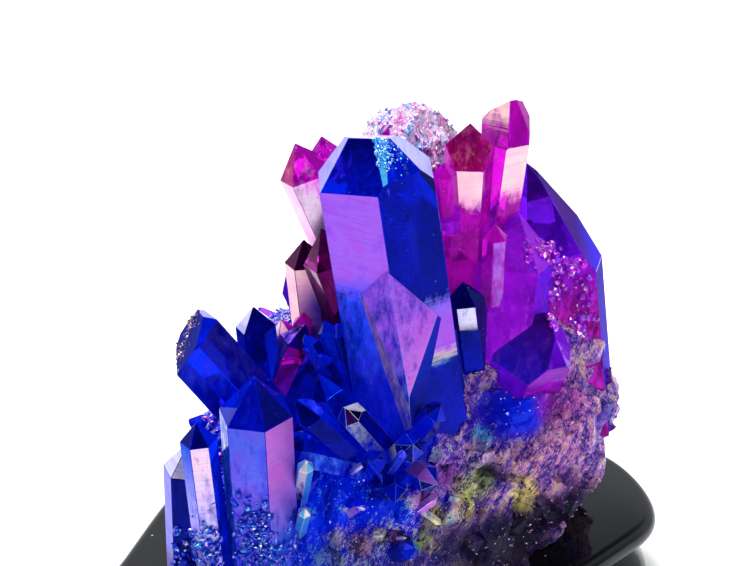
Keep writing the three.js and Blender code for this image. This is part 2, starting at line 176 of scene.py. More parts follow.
LARGE_CRYSTALS = [
    crystal("main", (9.8, -12, 59), (-2.6, -6, 148), 26.5, 33, "blue",
        caps=(0.11, 0.03, 0, 0, 0.05, 0.06),
        breaks=[((-1, -12.4, 144.8), (0, 0.37, 0.93)),
                ((10.6, -15.5, 135.4), (0.72, -0.62, 0.31)),
                ((-1, -12.4, 144.8), (0.1, -0.655, 0.75))],
        side5=coat(ROYAL, ORCHID, 0.5, 0.95, fade=(0.53, 0.61)),
        side0=coat(ORCHID, SKY, 0.88, 0.1, tint=(DEEP, DEEP), fade=(0.45, 0.54), foot=0.31),
        side4=coat(SKY, LILAC, 0.3, 0.6),
        tip5=stone(DEEP, INK, share=(0.03, 0.03), fade=(0.85, 0.97)),
        # tip4 and tip1, the left and right tip faces, are coated pale as a painted reflection
        # of the bright room at the sides.
        tip0=coat(SKY, CYAN, 0.22, 0.45, fade=(0.88, 0.98)), tip4=even(LILAC, 0.95),
        tip1=coat(LILAC, PEARL, 0.95), break0=even(PEACH, 0.6),
        break1=stone(INK, INK, share=(0.02, 0.02)), break2=coat(CYAN, CYAN, 0.75, 0.8)),
    crystal("front twin", (14, -18.5, 66), (2.4, -19.5, 120.5), 24, 2, "blue",
        caps=(0.3,) * 6, edge_sheen=coat(MOSS, LAVENDER, 0.85), wear=0.25,
        breaks=[((2.3, -24.2, 116.8), (-0.515, -0.857, 0.013)),
                ((2.3, -24.2, 116.8), (0.578, -0.795, 0.183)),
                ((-3.1, -21, 109.6), (-0.648, 0.38, 0.66)),
                ((14.2, -18.9, 102.1), (0.648, 0.373, 0.664)),
                ((5.1, -26.3, 87.6), (-0.734, -0.668, -0.125)),
                ((8.4, -26.6, 86.7), (0.765, -0.643, 0.034))],
        break0=coat(TEAL, ORCHID, 0.4, 0.52, fade=(0.3, 0.6)),
        break1=coat(PINK, ORCHID, 0.78, 0.62, fade=(0.3, 0.8)),
        # break4, a narrow strip, is coated cream as a painted highlight; break5, turned to
        # the right, is dark navy as a painted reflection of the dark room.
        break4=coat(CREAM, PINK, 0.5, 0.55), break5=coat(NAVY, DEEP, 0.9, tint=(DEEP, NAVY))),
    crystal("tall magenta", (25.5, 10, 80), (31.3, 9, 145), 11.6, 30, "magenta",
        caps=(-0.13, 0.62, 0.42, 0.02, 0.06, -0.16),
        breaks=[((36.9, 7, 135.5), (0.8, -0.3, 0.52))],
        side0=coat(PINK, PEACH, 0.12, 0.92, fade=(0.59, 0.7)), side5=even(PINK, 0.3),
        tip5=coat(MAROON, PEACH, 0.5, 0.75, fade=(0.9, 0.94)), tip0=dict(share=(0.1, 0.1)),
        tip1=even(LILAC, 0.8), tip4=even(PEACH, 0.8)),
    crystal("second magenta", (20, 4, 84), (22, 3, 142), 10.4, 0, "magenta",
        caps=(-0.32, 0.05, 0, 0.2, 0, 0.05), sides=(-0.08, 0, 0, 0, 0, 0),
        side0=coat(PINK, PEACH, 0.12, 0.9, fade=(0.6, 0.7)),
        tip0=coat(CRIMSON, MAROON, 0.3, 0.4, tint=(CRIMSON, MAROON), fade=(0.8, 1)),
        tip5=even(PEACH, 0.6), tip1=stone(CRIMSON, CRIMSON)),
    crystal("thin magenta", (17, -1, 115), (15.5, -2, 134), 5.2, 0, "magenta"),
    crystal("stub", (8, -3, 116.5), (30, -1, 119.8), 5.8, 0, "purple",
        breaks=[((20, -2, 118), (1, -0.1, 0.1))],
        # side3 and side4, facing the back and the top, are pearl as a painted reflection of
        # the bright room above.
        side3=even(PEARL, 1), side4=even(PEARL, 1)),
    crystal("small magenta", (28, -4, 97), (28, -4, 118.5), 5.6, 20, "magenta",
        side0=coat(DUSK, LAVENDER, 0.45, 0.6), side5=coat(DUSK, MAGENTA, 0.5, 0.2)),
    crystal("right back", (46, 14, 50), (37, 20, 123), 32, 20, "violet",
        breaks=[((48.4, 20, 108), (0.82, 0, 0.57))],
        tip0=stone(VIOLET, PLUM, fade=(0.7, 0.9)), tip1=coat(NAVY, INK, 0.9),
        side1=coat(DEEP, NAVY, 0.9, 0.95),
        side0=coat(MAGENTA, VIOLET, 0.42, 0.2, tint=(CRIMSON, PURPLE), fade=(0.5, 0.72)),
        break0=coat(BLUE, PLUM, 0.9, 0.95, fade=(0.58, 0.74))),
    crystal("right middle", (29.5, -2, 56), (34, 6, 117), 19.5, 0, "purple",
        tip0=coat(PURPLE, VIOLET, 0.3, 0.4), side0=coat(MAGENTA, PURPLE, 0.35, 0.25),
        tip5=even(VIOLET, 0.4), tip1=coat(VIOLET, PURPLE, 0.55), side1=even(VIOLET, 0.6)),
    crystal("right front", (31, 4, 52), (41, -8, 96.5), 19, 24, "violet",
        caps=(0.05, 0, 0, 0, 0, -0.1),
        tip5=coat(BLUE, PLUM, 0.35, 0.3, tint=(BLUE, PLUM), fade=(0.55, 0.95)),
        tip0=coat(PURPLE, VIOLET, 0.3, tint=(PURPLE, VIOLET)), tip1=coat(VIOLET, PURPLE, 0.5),
        side1=even(VIOLET, 0.6), side0=stone(MAGENTA, PURPLE)),
    crystal("dark wedge", (25.5, -4, 68), (20.5, -8, 105), 8, 0, "navy",
        side0=coat(SKY, PEARL, 0.6, 0.72, fade=(0.6, 0.75), foot=0.67),
        side5=coat(ORCHID, ORCHID, 0.05, 0.2, tint=(NAVY, PLUM))),
    crystal("broken magenta", (-6.6, 8, 100), (-19.8, 8, 134), 12.5, 0, "magenta",
        breaks=[((-15.8, 8, 133), (0.25, -0.2, 0.95))],
        side0=coat(PEARL, PEARL, 0.9, 0.5), side5=even(PEARL, 0.9),
        tip5=coat(MAROON, CRIMSON, 0.4, tint=(MAROON, CRIMSON)),
        tip0=coat(PINK, LILAC, 0.1, 0.35, tint=(CRIMSON, MAGENTA))),
    crystal("small maroon", (-9.5, 10, 115), (-13.5, 10, 135), 7, 0, "magenta"),
    crystal("maroon", (-15.5, 2, 81), (-18, 3, 110.5), 9.3, 0, "maroon",
        side0=coat(PINK, PEACH, 0.9), side5=even(PEACH, 0.9)),
    crystal("dark purple", (-2, -4, 82), (-13.5, -3, 116.8), 12.8, 0, "maroon"),
    crystal("broken blue", (-23, -12, 59.5), (-51.7, -14, 101), 16, 0, "blue",
        breaks=[((-44.5, -14, 93.7), (-0.85, -0.1, 0.5)),
                ((-45.2, -14, 81), (-0.84, -0.1, -0.53))],
        break0=even(NAVY, 0.9), side0=coat(DEEP, DEEP, 0.3, 0.5, tint=(BLUE, DEEP)),
        side5=coat(DEEP, NAVY, 0.3, 0.5, tint=(DEEP, DEEP)),
        side1=coat(DEEP, PLUM, 0.4, 0.5, tint=(DEEP, NAVY)), tip0=DARK),
    crystal("pink base", (-22, -3, 80), (-23.7, -3, 91.5), 5.5, 10, "magenta",
        tip0=even(PEACH, 0.7), tip5=even(PEARL, 0.8), side0=even(PINK, 0.6),
        side5=even(PEACH, 0.8)),
    crystal("magenta base", (-19.5, -3, 81), (-18, -3, 93.3), 4.5, 25, "magenta"),
    crystal("navy", (-28.5, -8, 74), (-30, -8, 98), 8.6, 0, "navy",
        tip5=coat(LILAC, PEARL, 0.9)),
    crystal("pink navy", (-27.5, -8, 68), (-17.5, -6, 92), 8.3, 0, "navy",
        tip5=coat(LAVENDER, MAUVE, 0.4), side5=coat(DUSK, LAVENDER, 0.4, 0.5),
        side0=stone(PURPLE, CRIMSON)),
    crystal("left front", (-27.8, -30, 26), (-29, -28, 91), 15.8, -13, "blue",
        side0=coat(LAVENDER, DUSK, 0.45, 0.8, fade=(0.4, 0.75)),
        side1=coat(SKY, PINK, 0.55, 0.95, fade=(0.34, 0.6)), side5=coat(CYAN, TEAL, 0.6, 0.5),
        tip0=coat(DUSK, DEEP, 0.2, tint=(BLUE, DEEP)),
        tip1=stone(DEEP, NAVY, share=(0.05, 0.05))),
    crystal("left slim", (-39.7, -32, 28), (-42.7, -31, 80), 7.8, 8, "blue",
        side5=coat(LILAC, TEAL, 0.6, 0.75, fade=(0.5, 0.9)),
        side0=coat(LILAC, PEACH, 0.6, 0.75, fade=(0.5, 0.8)), tip5=DARK, tip0=DARK),
    crystal("cyan upper", (-19.9, -25, 48), (-16.8, -34, 70.8), 3.6, 38, "cyan",
        edge_sheen=coat(CYAN, CREAM, 0.85),
        side0=coat(SKY, CYAN, 0.7, 0.95),
        side5=coat(PEARL, CREAM, 0.1, 0.9, tint=(DEEP, NAVY)), side1=DARK,
        tip5=coat(PEARL, CREAM, 0.9)),
    crystal("cyan lower", (-20.6, -26, 38), (-17.2, -36, 58.5), 3, 30, "cyan",
        edge_sheen=coat(CYAN, CREAM, 0.85),
        side0=coat(SKY, CYAN, 0.6, 0.9), side5=DARK, tip0=coat(PEARL, CREAM, 0.9)),
    crystal("left outer", (-46.8, -24, 25), (-45.8, -22, 68.2), 11.7, -8, "navy",
        side5=even(LILAC, 0.9), tip0=even(PEARL, 0.9), tip5=coat(LILAC, PEARL, 0.9)),
]

# Crystals that spread like a fan from one root: the root, the width, the look and width of
# the edge strips, pale in part as a painted highlight, the tips, and the looks of single
# faces, by the number of the tip in the list.
FANS = [
    ((-2.3, -18, 65.7), 4.6, {},
     [(-17.4, -14, 93.6), (-12.6, -12, 96), (-9.5, -13, 96), (-13.8, -18, 90.6)], {}),
    ((-1.8, -22, 61), 9, {}, [(-14.2, -21, 86.9), (-18.5, -25, 81.6), (-24, -26, 70)],
     {0: dict(tip5=DARK, side0=stone(BLUE, DEEP)),
      1: dict(tip0=DARK, tip1=even(ROYAL, 0.4)),
      2: dict(side3=coat(SKY, TEAL, 0.4))}),
    ((4, -22, 62), 6, dict(edge_sheen=coat(PINK, MOSS, 0.85), wear=0.4),
     [(-7.7, -31, 84.2), (-2, -36, 72), (8, -35, 76), (15, -30, 84), (14, -36, 66),
      (4, -38, 62)],
     {0: dict(tip0=stone(CRIMSON, MAROON), tip1=stone(MAROON, INK),
              tip2=coat(MOSS, CREAM, 0.7), side0=coat(CREAM, MOSS, 0.35, 0.55), side1=DARK),
      2: dict(side4=coat(CREAM, MOSS, 0.7, 0.8), tip5=DARK),
      4: dict(side3=coat(ORCHID, PINK, 0.85, 0.7), tip3=coat(PINK, ORCHID, 0.85),
              side2=coat(LILAC, PINK, 0.5, 0.6))}),
]

# Thin splinters of quartz lying on the larger crystals and on the rock: both ends, the
# width and the coating.
SPLINTERS = [
    ((3.2, -31.4, 66), (6.2, -36.4, 75.2), 2, (DEEP, BLUE)),
    ((7.8, -34, 54.6), (14.4, -31, 58.4), 2.6, (ORCHID, PINK)),
    ((2.6, -33, 52), (8, -33.8, 54.8), 1.6, (LILAC, PINK)),
    ((10.5, -32.4, 55.4), (15.4, -32.6, 51.2), 1.8, (MOSS, GOLD)),
    ((16.8, -29.2, 56.6), (22.9, -26.8, 53.2), 2.2, (MOSS, CREAM)),
    ((-6.4, -28.8, 63.6), (-3.2, -28.4, 66.4), 1.4, (LAVENDER, PEARL)),
    # The last five splinters, small and pale, stand in for white glints: painted glints.
    ((-8.6, -31, 54.3), (-6, -31.6, 54.8), 0.9, (PEARL, PEARL)),
    ((-4.9, -35.2, 57.6), (-2.9, -35.8, 58.2), 0.8, (PEARL, PEARL)),
    ((-11.6, -31, 50.6), (-9.2, -31.6, 50.9), 0.9, (PEARL, SKY)),
    ((4.5, -34.2, 48.1), (7, -34.6, 48.4), 1, (PEARL, PEARL)),
    ((-0.6, -34.3, 48.9), (1.6, -34.9, 49.4), 0.8, (CREAM, PEARL)),
]
# The splinters' edge strips are coated pale as a painted highlight.
SPLINTER_EDGE_SHEEN = coat(LILAC, MOSS, 0.85)
SPLINTER_WEAR = 0.3

# Crystals grown out of the rock at seeded places: how many, the spans of azimuth, which
# runs anticlockwise from +X, rise above level, length and width, the lean that bends them
# away from straight out, and their look.
GROWN_SETS = [
    (15, (40, 165), (-8, 66), (6, 11), (8, 12), (0, 0, 0.9), "violet"),
    (9, (20, 200), (50, 84), (0.8, 2), (4, 7), (0, 0, 0.2), "magenta"),
    (16, (150, 235), (-20, 22), (3, 8), (4, 7), (0, 0, 0.5), "blue"),
    (18, (232, 325), (-24, 18), (5, 9), (3, 5), (0.7, 0, 1.3), "blue"),
    (10, (-60, 60), (-25, 45), (1.2, 3), (4, 8), (0.1, 0, 0.5), "crust"),
]
# Coatings of the bright faces of small crystals, and the share of faces that are bright.
GLINT_FILMS = (ORCHID, LAVENDER, PINK, PEACH, CYAN, SKY, ROYAL)
GLINT_SHARE = 0.1
POINT_FACES = [f"{kind}{side}" for kind in ("side", "tip") for side in range(6)]
ANY_TURN = (0, 60)
TIP_UNEVENNESS = 0.14
ROOT_DEPTH = 0.7             # buried length of a grown crystal, as a share of its width
BURIED_SHARE = 0.25          # length left on crystals under the crust at the front right
BURIED_CORNER = (10, 0)      # the crust lies right of this x and in front of this y
FAN_WIDTHS = (0.85, 1.15)
FAN_DARK_FACES = ("side0", "side3", "tip1", "tip4")
HEADING_STRAY = (-0.25, 0.25)
INSIDE_MARGIN = 0.2          # a place this deep in a crystal counts as inside it
# A face belongs to a plane if its normal and its distance agree this well.
SAME_WAY = 0.9999
SAME_PLANE = 0.02

# ------------ rock and stand

CLUSTER_BASE = 24.3          # height of the rock's flat underside
ROCK_MIDDLE = (4, 12, 54)
ROCK_MASSES = [
    ((-5, 3, 28), (46, 40, 38)), ((31, 16, 58), (29, 25, 47)),
    ((24, 2, 52), (32, 24, 28)), ((7, 25, 84), (23, 19.5, 48.4)),
    ((-14, 12, 46), (28, 30, 36)), ((6, -4, 45), (26, 28, 34)),
]
ROCK_BLEND = 9               # higher is a sharper crease where two masses meet
ROCK_LUMP = 1.5
# Flat breaks of the rock's surface, as cell size, step and tilt.
ROCK_BREAKS = [(8, 1.0, 0.22), (3.6, 0.5, 0.25)]
ROCK_STRETCH = (1.3, 1.0, 0.8)
BREAK_CELLS = 24000
TILT_LIMIT = 1.5             # most that a tilted cell moves the rock, in steps of the cell
NEAREST_BLOCK = 4000         # points compared with all centres at once
BARE_CRUST = 0.12
FOOT_CRUST = 0.35
PATCH_EDGE = 1.5             # a patch fades out at this many times its radius
# Zones of the rock's colours: where each begins, and over what distance it comes in.  A
# zone that comes in downwards or towards the front is measured along -Z or -Y.
RIGHT_ZONE = (6, 22)
TOP_ZONE = (95, 15)
FOOT_ZONE = (-46, 14)
BACK_ZONE = (-6, 12)
# These zones place a painted shade on the front of the rock's foot, deepest at the right.
PAINTED_SHADE_FOOT = (-50, 9)
PAINTED_SHADE_FRONT = (0, 10)
PAINTED_SHADE_RIGHT = (14, 10)
PAINTED_SHADE_STRENGTH = (0.3, 0.65)       # strength of the painted shade at the foot at the left, and what the right adds to it
# Colour of the rock where a crystal of each family covers it; it is also the colour of the
# painted glow that the rock gives off there, lighting the crystal from within.
INNER_TINTS = [shade(20, 80, 255), shade(236, 90, 255), shade(250, 90, 240)]

# Patches of the rock with a colour of their own: middle, radius, colour, how strongly it
# shows, and how much thicker the crust is there.
ROCK_PATCHES = [
    ((36, -20.5, 53), 3.6, GOLD, 1, 0.2), ((37, -20, 49), 3, GOLD, 1, 0.2),
    ((23, -25, 57), 4.5, MOSS, 0.8, 0.2), ((20, -28, 53), 3.5, GOLD, 0.7, 0.2),
    ((26, -19, 76), 3, LILAC, 0.7, 0.4), ((25.5, -20, 69), 3, CYAN, 0.5, 0.4),
    ((25, -22, 63), 3, LILAC, 0.6, 0.3), ((31, -15, 72), 8, DEEP, 0.9, -1.2),
    ((36, -13, 71), 6, BLUE, 0.9, -1), ((46, -8, 73), 7, MAGENTA, 0.6, -0.4),
    ((28, -21, 58), 4, NAVY, 0.8, -0.3), ((45, -14, 58), 11, PINK, 0.25, 0.2),
    # The plum and ink patches low at the right are painted shade at the rock's foot.
    ((46.6, -12.5, 38), 12, PLUM, 1, 0), ((36, -21, 38), 10, INK, 1, 0.2),
    ((25, -31, 42), 10, NAVY, 0.8, 0.5), ((12, -36, 44), 8, NAVY, 0.35, 1.8),
    ((2, -37, 45), 7, NAVY, 0.3, 2.4), ((-8, -35, 44), 6, NAVY, 0.3, 2),
    ((5.5, -33.7, 48), 2.2, PINK, 0.8, 1.2), ((10.3, -34.2, 47.4), 2.4, MOSS, 0.7, 1.2),
    ((0.6, -34, 48.8), 2, GOLD, 0.6, 1.2), ((-4.3, -34.8, 46.4), 2.4, TAN, 0.8, 1.2),
    ((-9, -33, 48), 2.4, LILAC, 0.6, 1), ((13.5, -33.4, 45.5), 2.2, PEACH, 0.7, 1),
    ((16.4, -26.7, 61.5), 4.5, ORCHID, 0.9, 0.6), ((10.3, -31.2, 57.4), 3.5, PINK, 0.8, 0.6),
    ((13.5, -31.7, 53.2), 3, GOLD, 0.9, 0.6), ((-19, -32, 43), 9, TEAL, 0.7, 0.1),
    ((57, -2, 60), 7, BLUE, 0.5, -0.3), ((14, 16, 127), 6, SKY, 0.7, 0),
]

# Kinds of crumb: the tint, the coatings, the share of faces that are bright, the length,
# and the width as a share of it.
CRUMB_KINDS = {
    "frost": (ROYAL, (CYAN, CYAN, PEARL, SKY), 0.6, (0.4, 1.1), (0.5, 0.9)),
    "blue": (BLUE, (SKY, SKY, LAVENDER, CYAN, PEARL), 0.28, (0.9, 3.6), (0.3, 0.6)),
    # The pearl faces of the violet crumbs stand in partly for glints on the chipped faces:
    # painted glints on real chips.
    "violet": (PURPLE, (PEARL, PINK, MAGENTA, PURPLE, VIOLET, PURPLE), 0.4, (0.4, 1.9),
               (0.5, 1.7)),
    "dark": (INK, (PEARL, PINK, LILAC), 0.2, (0.5, 1.4), (0.3, 0.8)),
}
# Crumbs where a face is chipped: the kind, the crystal and the face, and for each chipped
# patch its middle, how far the crumbs scatter from it, and how many there are.
CRUMBS = [
    ("violet", "right middle", "tip1", ((41, 3.2, 107.4), 1.6, 40)),
    ("violet", "right middle", "tip0", ((37.2, 0, 109.5), 2, 26)),
    ("violet", "right back", "side0", ((48.9, 4.6, 102.9), 0.9, 34),
     ((43.8, 2.8, 103.6), 1.5, 60), ((43.6, 1.6, 95.6), 1, 50), ((47, 3, 98), 3.5, 34)),
    ("violet", "right back", "tip0", ((43.2, 4.6, 106.4), 1, 26)),
    ("violet", "right back", "side0", ((50.5, 4, 86), 2.2, 60)),
    ("violet", "right front", "tip1", ((42.7, -7.1, 93.1), 0.9, 40)),
    ("dark", "broken blue", "break0", ((-47.6, -14, 89), 2.5, 90),
     ((-44.6, -8.5, 94.5), 2, 60)),
    ("frost", "main", "break2", ((0.2, -12.8, 144.2), 1.6, 200),
     ((0.6, -15.5, 141.5), 1.8, 200)),
    ("frost", "main", "tip0", ((2.6, -15.5, 142), 2, 120)),
    ("blue", "left front", "side0", ((-26, -37, 50), 6, 500)),
    ("blue", "left front", "side1", ((-22.5, -35, 41), 5, 150)),
    ("blue", "left slim", "side0", ((-40, -36, 45), 5, 180)),
    ("blue", "left slim", "side5", ((-44, -34, 44), 4, 80)),
    ("blue", "left outer", "side0", ((-47, -29, 39), 5, 100)),
]
# Sets of tiny crystals on the rock: seed, count, azimuth, rise, length and lean as in
# GROWN_SETS, how far the headings stray, and the share of faces that mirror.
DRUSE_SETS = {
    "right_druse": (5, 700, (270, 420), (-40, 45), (0.5, 1.3), (0.8, 0, 0.9), 0.35, 0.3),
    "left_druse": (6, 1800, (150, 240), (-40, 20), (0.9, 2.8), (-0.2, 0, 0.8), 0.5, 0.18),
    "top_druse": (7, 7500, (0, 360), (40, 90), (0.5, 1.7), (0, 0, 0.2), 0.6, 0.7),
    "back_druse": (8, 2600, (60, 180), (-40, 40), (0.9, 2.6), (0, 0.2, 0.8), 0.5, 0.25),
}
DRUSE_FLOOR = 28             # the druse begins at this height
DRUSE_TRIES = 40             # directions drawn for each tiny crystal that is wanted
DRUSE_SLIMNESS = (0.35, 0.8)  # width of a tiny crystal as a share of its length
DRUSE_SHOULDER = 0.72        # where its tip faces begin, as a share of its length
DRUSE_SQUASH = (0.55, 1.0)   # its thickness as a share of its width
DRUSE_BURIED = 0.45          # the share of its length that is in the rock
DRUSE_SHARES = (0.9, 0.12)   # how much the coating hides of a bright face and of another
CRUMB_SHARES = (0.95, 0.08)
CRUMB_SEED = 11
CRUMB_STRAY = 0.7
CRUMB_RISE = 0.8             # how far crumbs lean upwards
CRUMB_BURIED = 0.4           # the share of a crumb's length that is in its crystal
CRUMB_DEPTH = 0.15           # how much deeper than that it is set
CRUMB_MARGIN = 0.1           # how far past its face's edges a crumb may start
DRUSE_FACES = 13
FILM_SCATTER = 0.08
ZONE_BLUR = (-9, 9)          # the druse's zones of colour run into each other this far
DRUSE_FILMS = (ROYAL, SKY, CYAN, PEARL, LAVENDER, ORCHID, PINK, PEARL, PEACH, CREAM, MAGENTA)

STAND_HEIGHT = 24
PLATE_THICKNESS = 7
PLATE_ROUND = 3
WAIST_HEIGHT = 15
WAIST_INSET = 8.5
PLINTH_INSET = 1.5
FOOT_HEIGHT = 4
FOOT_BEVEL = 1
BULLNOSE_STEPS = 14
OGEE_STEPS = 16
STAND_OUTLINE = [
    (76.3, 10), (66.5, 34), (40, 47.5), (2, 51), (-34, 44), (-53.5, 23),
    (-67, -13), (-75, -36), (-60, -51), (-20, -50.5), (33, -32), (65.5, -7),
]

# ------------ shader arithmetic


class Value:
    """A number that varies over a surface; arithmetic on it adds Math nodes."""

    def __init__(self, finish, socket):
        self.finish, self.socket = finish, socket

    def math(self, operation, *parts):
        """A Math node fed with the parts."""
        return self.finish.number("Math", dict(enumerate(parts)), operation=operation)

    def clamped(self):
        """The value held between 0 and 1."""
        limited = self.math("MAXIMUM", self, 0.0)
        return limited.math("MINIMUM", limited, 1.0)

    def between(self, low, high):
        """0 at low, 1 at high, smooth in between and held outside."""
        return self.finish.number("MapRange", {"Value": self, "From Min": low,
                                               "From Max": high},
                                  interpolation_type="SMOOTHSTEP")


def overload(name, operation):
    """Gives Value an operator, and its reflected form so that 1 - mask works."""
    setattr(Value, f"__{name}__", lambda self, other: self.math(operation, self, other))
    setattr(Value, f"__r{name}__", lambda self, other: self.math(operation, other, self))


for name, operation in {"add": "ADD", "sub": "SUBTRACT", "mul": "MULTIPLY",
                        "truediv": "DIVIDE"}.items():
    overload(name, operation)


class Finish:
    """The nodes of one material, or of the studio's surround."""

    def __init__(self, holder, output="OutputMaterial"):
        holder.use_nodes = True
        self.holder = holder
        self.tree = holder.node_tree
        self.tree.nodes.clear()
        self.output = self.tree.nodes.new("ShaderNode" + output)

    def node(self, kind, values=None, output=0, stops=(), **settings):
        """Adds a node and gives one of its outputs.

        settings are its own properties and stops a ramp's colours, and values feed its
        input sockets."""
        node = self.tree.nodes.new("ShaderNode" + kind)
        for name, setting in settings.items():
            setattr(node, name, setting)
        for _ in stops[2:]:
            node.color_ramp.elements.new(1.0)
        for i, (position, colour) in enumerate(stops):
            node.color_ramp.elements[i].position = position
            node.color_ramp.elements[i].color = colour
        for key, value in (values or {}).items():
            socket = node.inputs[key]
            if isinstance(value, Value):
                value = value.socket
            if isinstance(value, bpy.types.NodeSocket):
                self.tree.links.new(value, socket)
            elif isinstance(value, tuple) and len(socket.default_value) == len(value) + 1:
                socket.default_value = (*value, 1.0)
            else:
                socket.default_value = value
        return node.outputs[output]

    def number(self, kind, values=None, output=0, **settings):
        """Adds a node and gives an output of it as a Value."""
        return Value(self, self.node(kind, values, output, **settings))

    def place(self):
        """Where a point is on the object."""
        return self.node("TexCoord", output="Object")

    def colour_of(self, name):
        """A colour stored on the mesh."""
        return self.node("Attribute", output="Color", attribute_name=name)

    def number_of(self, name):
        """A number stored on the mesh."""
        return self.number("Attribute", output="Fac", attribute_name=name)

    def moved(self, vector, scale=(1, 1, 1), rotation=(0, 0, 0)):
        """A place turned and then scaled, so that a pattern on it is turned and squeezed."""
        turned = tuple(math.radians(angle) for angle in rotation)
        return self.node("Mapping", {"Vector": vector, "Scale": scale, "Rotation": turned})

    def noise(self, vector, size, detail=2.0, roughness=0.5, distortion=0.0):
        """Cloudy noise from 0 to 1 whose patches are about size metres wide."""
        return self.number("TexNoise", {
            "Vector": vector, "Scale": 1 / size, "Detail": detail, "Roughness": roughness,
            "Distortion": distortion}, "Fac")

    def specks(self, vector, size, low, high):
        """1 on specks round scattered points about size metres apart, 0 between them."""
        away = self.number("TexVoronoi", {"Vector": vector, "Scale": 1 / size}, "Distance")
        return 1.0 - away.between(low, high)

    def ramp(self, value, stops):
        """A colour picked along stops, each (position, colour)."""
        return self.node("ValToRGB", {"Fac": value}, "Color", stops)

    def mix(self, share, first, second):
        """Two colours mixed; share 0 gives the first."""
        return self.node("Mix", {0: share, 6: first, 7: second}, 2, data_type="RGBA")

    def bump(self, height, distance, strength=1.0):
        """A normal that follows a height, which reaches distance metres."""
        return self.node("Bump", {"Height": height, "Distance": distance,
                                  "Strength": strength})

    def principled(self, **values):
        """A Principled shader; base_color and the like name its sockets."""
        return self.node("BsdfPrincipled", {
            name.replace("_", " ").title().replace("Ior", "IOR"): value
            for name, value in values.items()})

    def blend(self, share, first, second):
        """Two shaders mixed; share 0 gives the first."""
        return self.node("MixShader", {0: share, 1: first, 2: second})

    def done(self, shader):
        """Links the finished shader, and gives the material or the world."""
        self.tree.links.new(shader, self.output.inputs["Surface"])
        return self.holder


# ------------ materials

QUARTZ_IOR = 1.54
PAINTED_GLOW = 0.125                 # painted glow: light that the quartz and the rock give off, as a share of their tint
MIRROR_START = 16.0          # how soon a film mirrors as it gets lighter than black
FOOT_SHARPNESS = 18.0        # how sharply a coating begins at its foot
CLOUD_SIZE = 0.006
WISP_SIZE = 0.0022
PIT_SIZE = 0.0011
GRAIN_SIZE = 0.0018
PATCH_SIZE = 0.012
SHIFT_STOPS = (0.3, 0.45, 0.6, 0.75)
STRIPE_TILT = (0, -26, 0)
DUST = (0.5, 0.5, 0.52)


def coated_quartz(name, mirror, edge, wisp, ripple, shift):
    """Clear tinted quartz under a coating that mirrors more on some faces than others.

    Every face fades from its foot look to its tip look by the same fraction, grade, of the
    crystal's length; noise breaks up the edge of the fade, and fine growth lines, pits and
    specks break up the faces.  bright keeps dark films from mirroring."""
    made = Finish(bpy.data.materials.new(name))
    place = made.place()
    clouds = made.noise(place, CLOUD_SIZE, detail=4.0, roughness=0.6)
    wisps = made.noise(made.moved(place, (1, 1, 0.4)), WISP_SIZE, detail=4.0, roughness=0.7)
    lines = made.noise(made.moved(place, (90, 90, 2400)), 1.0, detail=1.0)
    grade = made.number_of("grade") + (clouds - 0.5) * 0.06 + (lines - 0.5) * 0.05
    start = made.number_of("fade_start")
    reach = made.number_of("fade_end") - start
    fade = ((grade - start) / reach).clamped()
    tint = made.mix(fade, made.colour_of("tint_low"), made.colour_of("tint_high"))
    film = made.mix(fade, made.colour_of("film_low"), made.colour_of("film_high"))
    share_low = made.number_of("share_low")
    share = share_low + (made.number_of("share_high") - share_low) * fade
    lively = made.ramp(clouds, list(zip(SHIFT_STOPS, shift)))
    bright = (made.number("RGBToBW", {"Color": film}) * MIRROR_START).clamped()
    film = made.mix(bright * 0.25, film, lively)
    film = made.mix(lines.between(0.48, 0.68) * bright * 0.2, film, ripple)
    above = ((grade - made.number_of("foot")) * FOOT_SHARPNESS).clamped()
    rainbow = made.ramp(above, [(0.1, CYAN), (0.35, CREAM), (0.6, PEACH)])
    film = made.mix(above.between(0.5, 1.0), rainbow, film)
    tint = made.mix(wisps.between(0.5, 0.8) * 0.3, tint, wisp)
    specks = made.specks(place, 0.0016, 0.06, 0.12)
    rare = made.noise(place, 0.0045, detail=1.0).between(0.56, 0.62)
    pits = made.noise(place, PIT_SIZE, detail=3.0)
    normal = made.bump(lines * 0.5 + pits * 0.5, 0.0001, 0.15)
    # The quartz gives off a painted glow of its own tint, dimmed to ink in cloudy patches.
    glow_colour = made.mix(clouds.between(0.4, 0.62), INK, tint)
    glass = made.principled(base_color=tint, transmission_weight=0.8, roughness=0.02,
                            ior=QUARTZ_IOR, specular_tint=mirror, normal=normal,
                            emission_color=glow_colour, emission_strength=PAINTED_GLOW)
    coating = made.principled(base_color=film, metallic=bright * 0.6, roughness=0.36,
                              specular_ior_level=0.0, specular_tint=edge, normal=normal)
    cover = ((wisps - 0.5) * 3.0 + (share - 0.5) * 2.4 + 0.5).clamped()
    hidden = cover * above * 0.94 + specks * rare * 0.8
    return made.done(made.blend(hidden.clamped(), glass, coating))


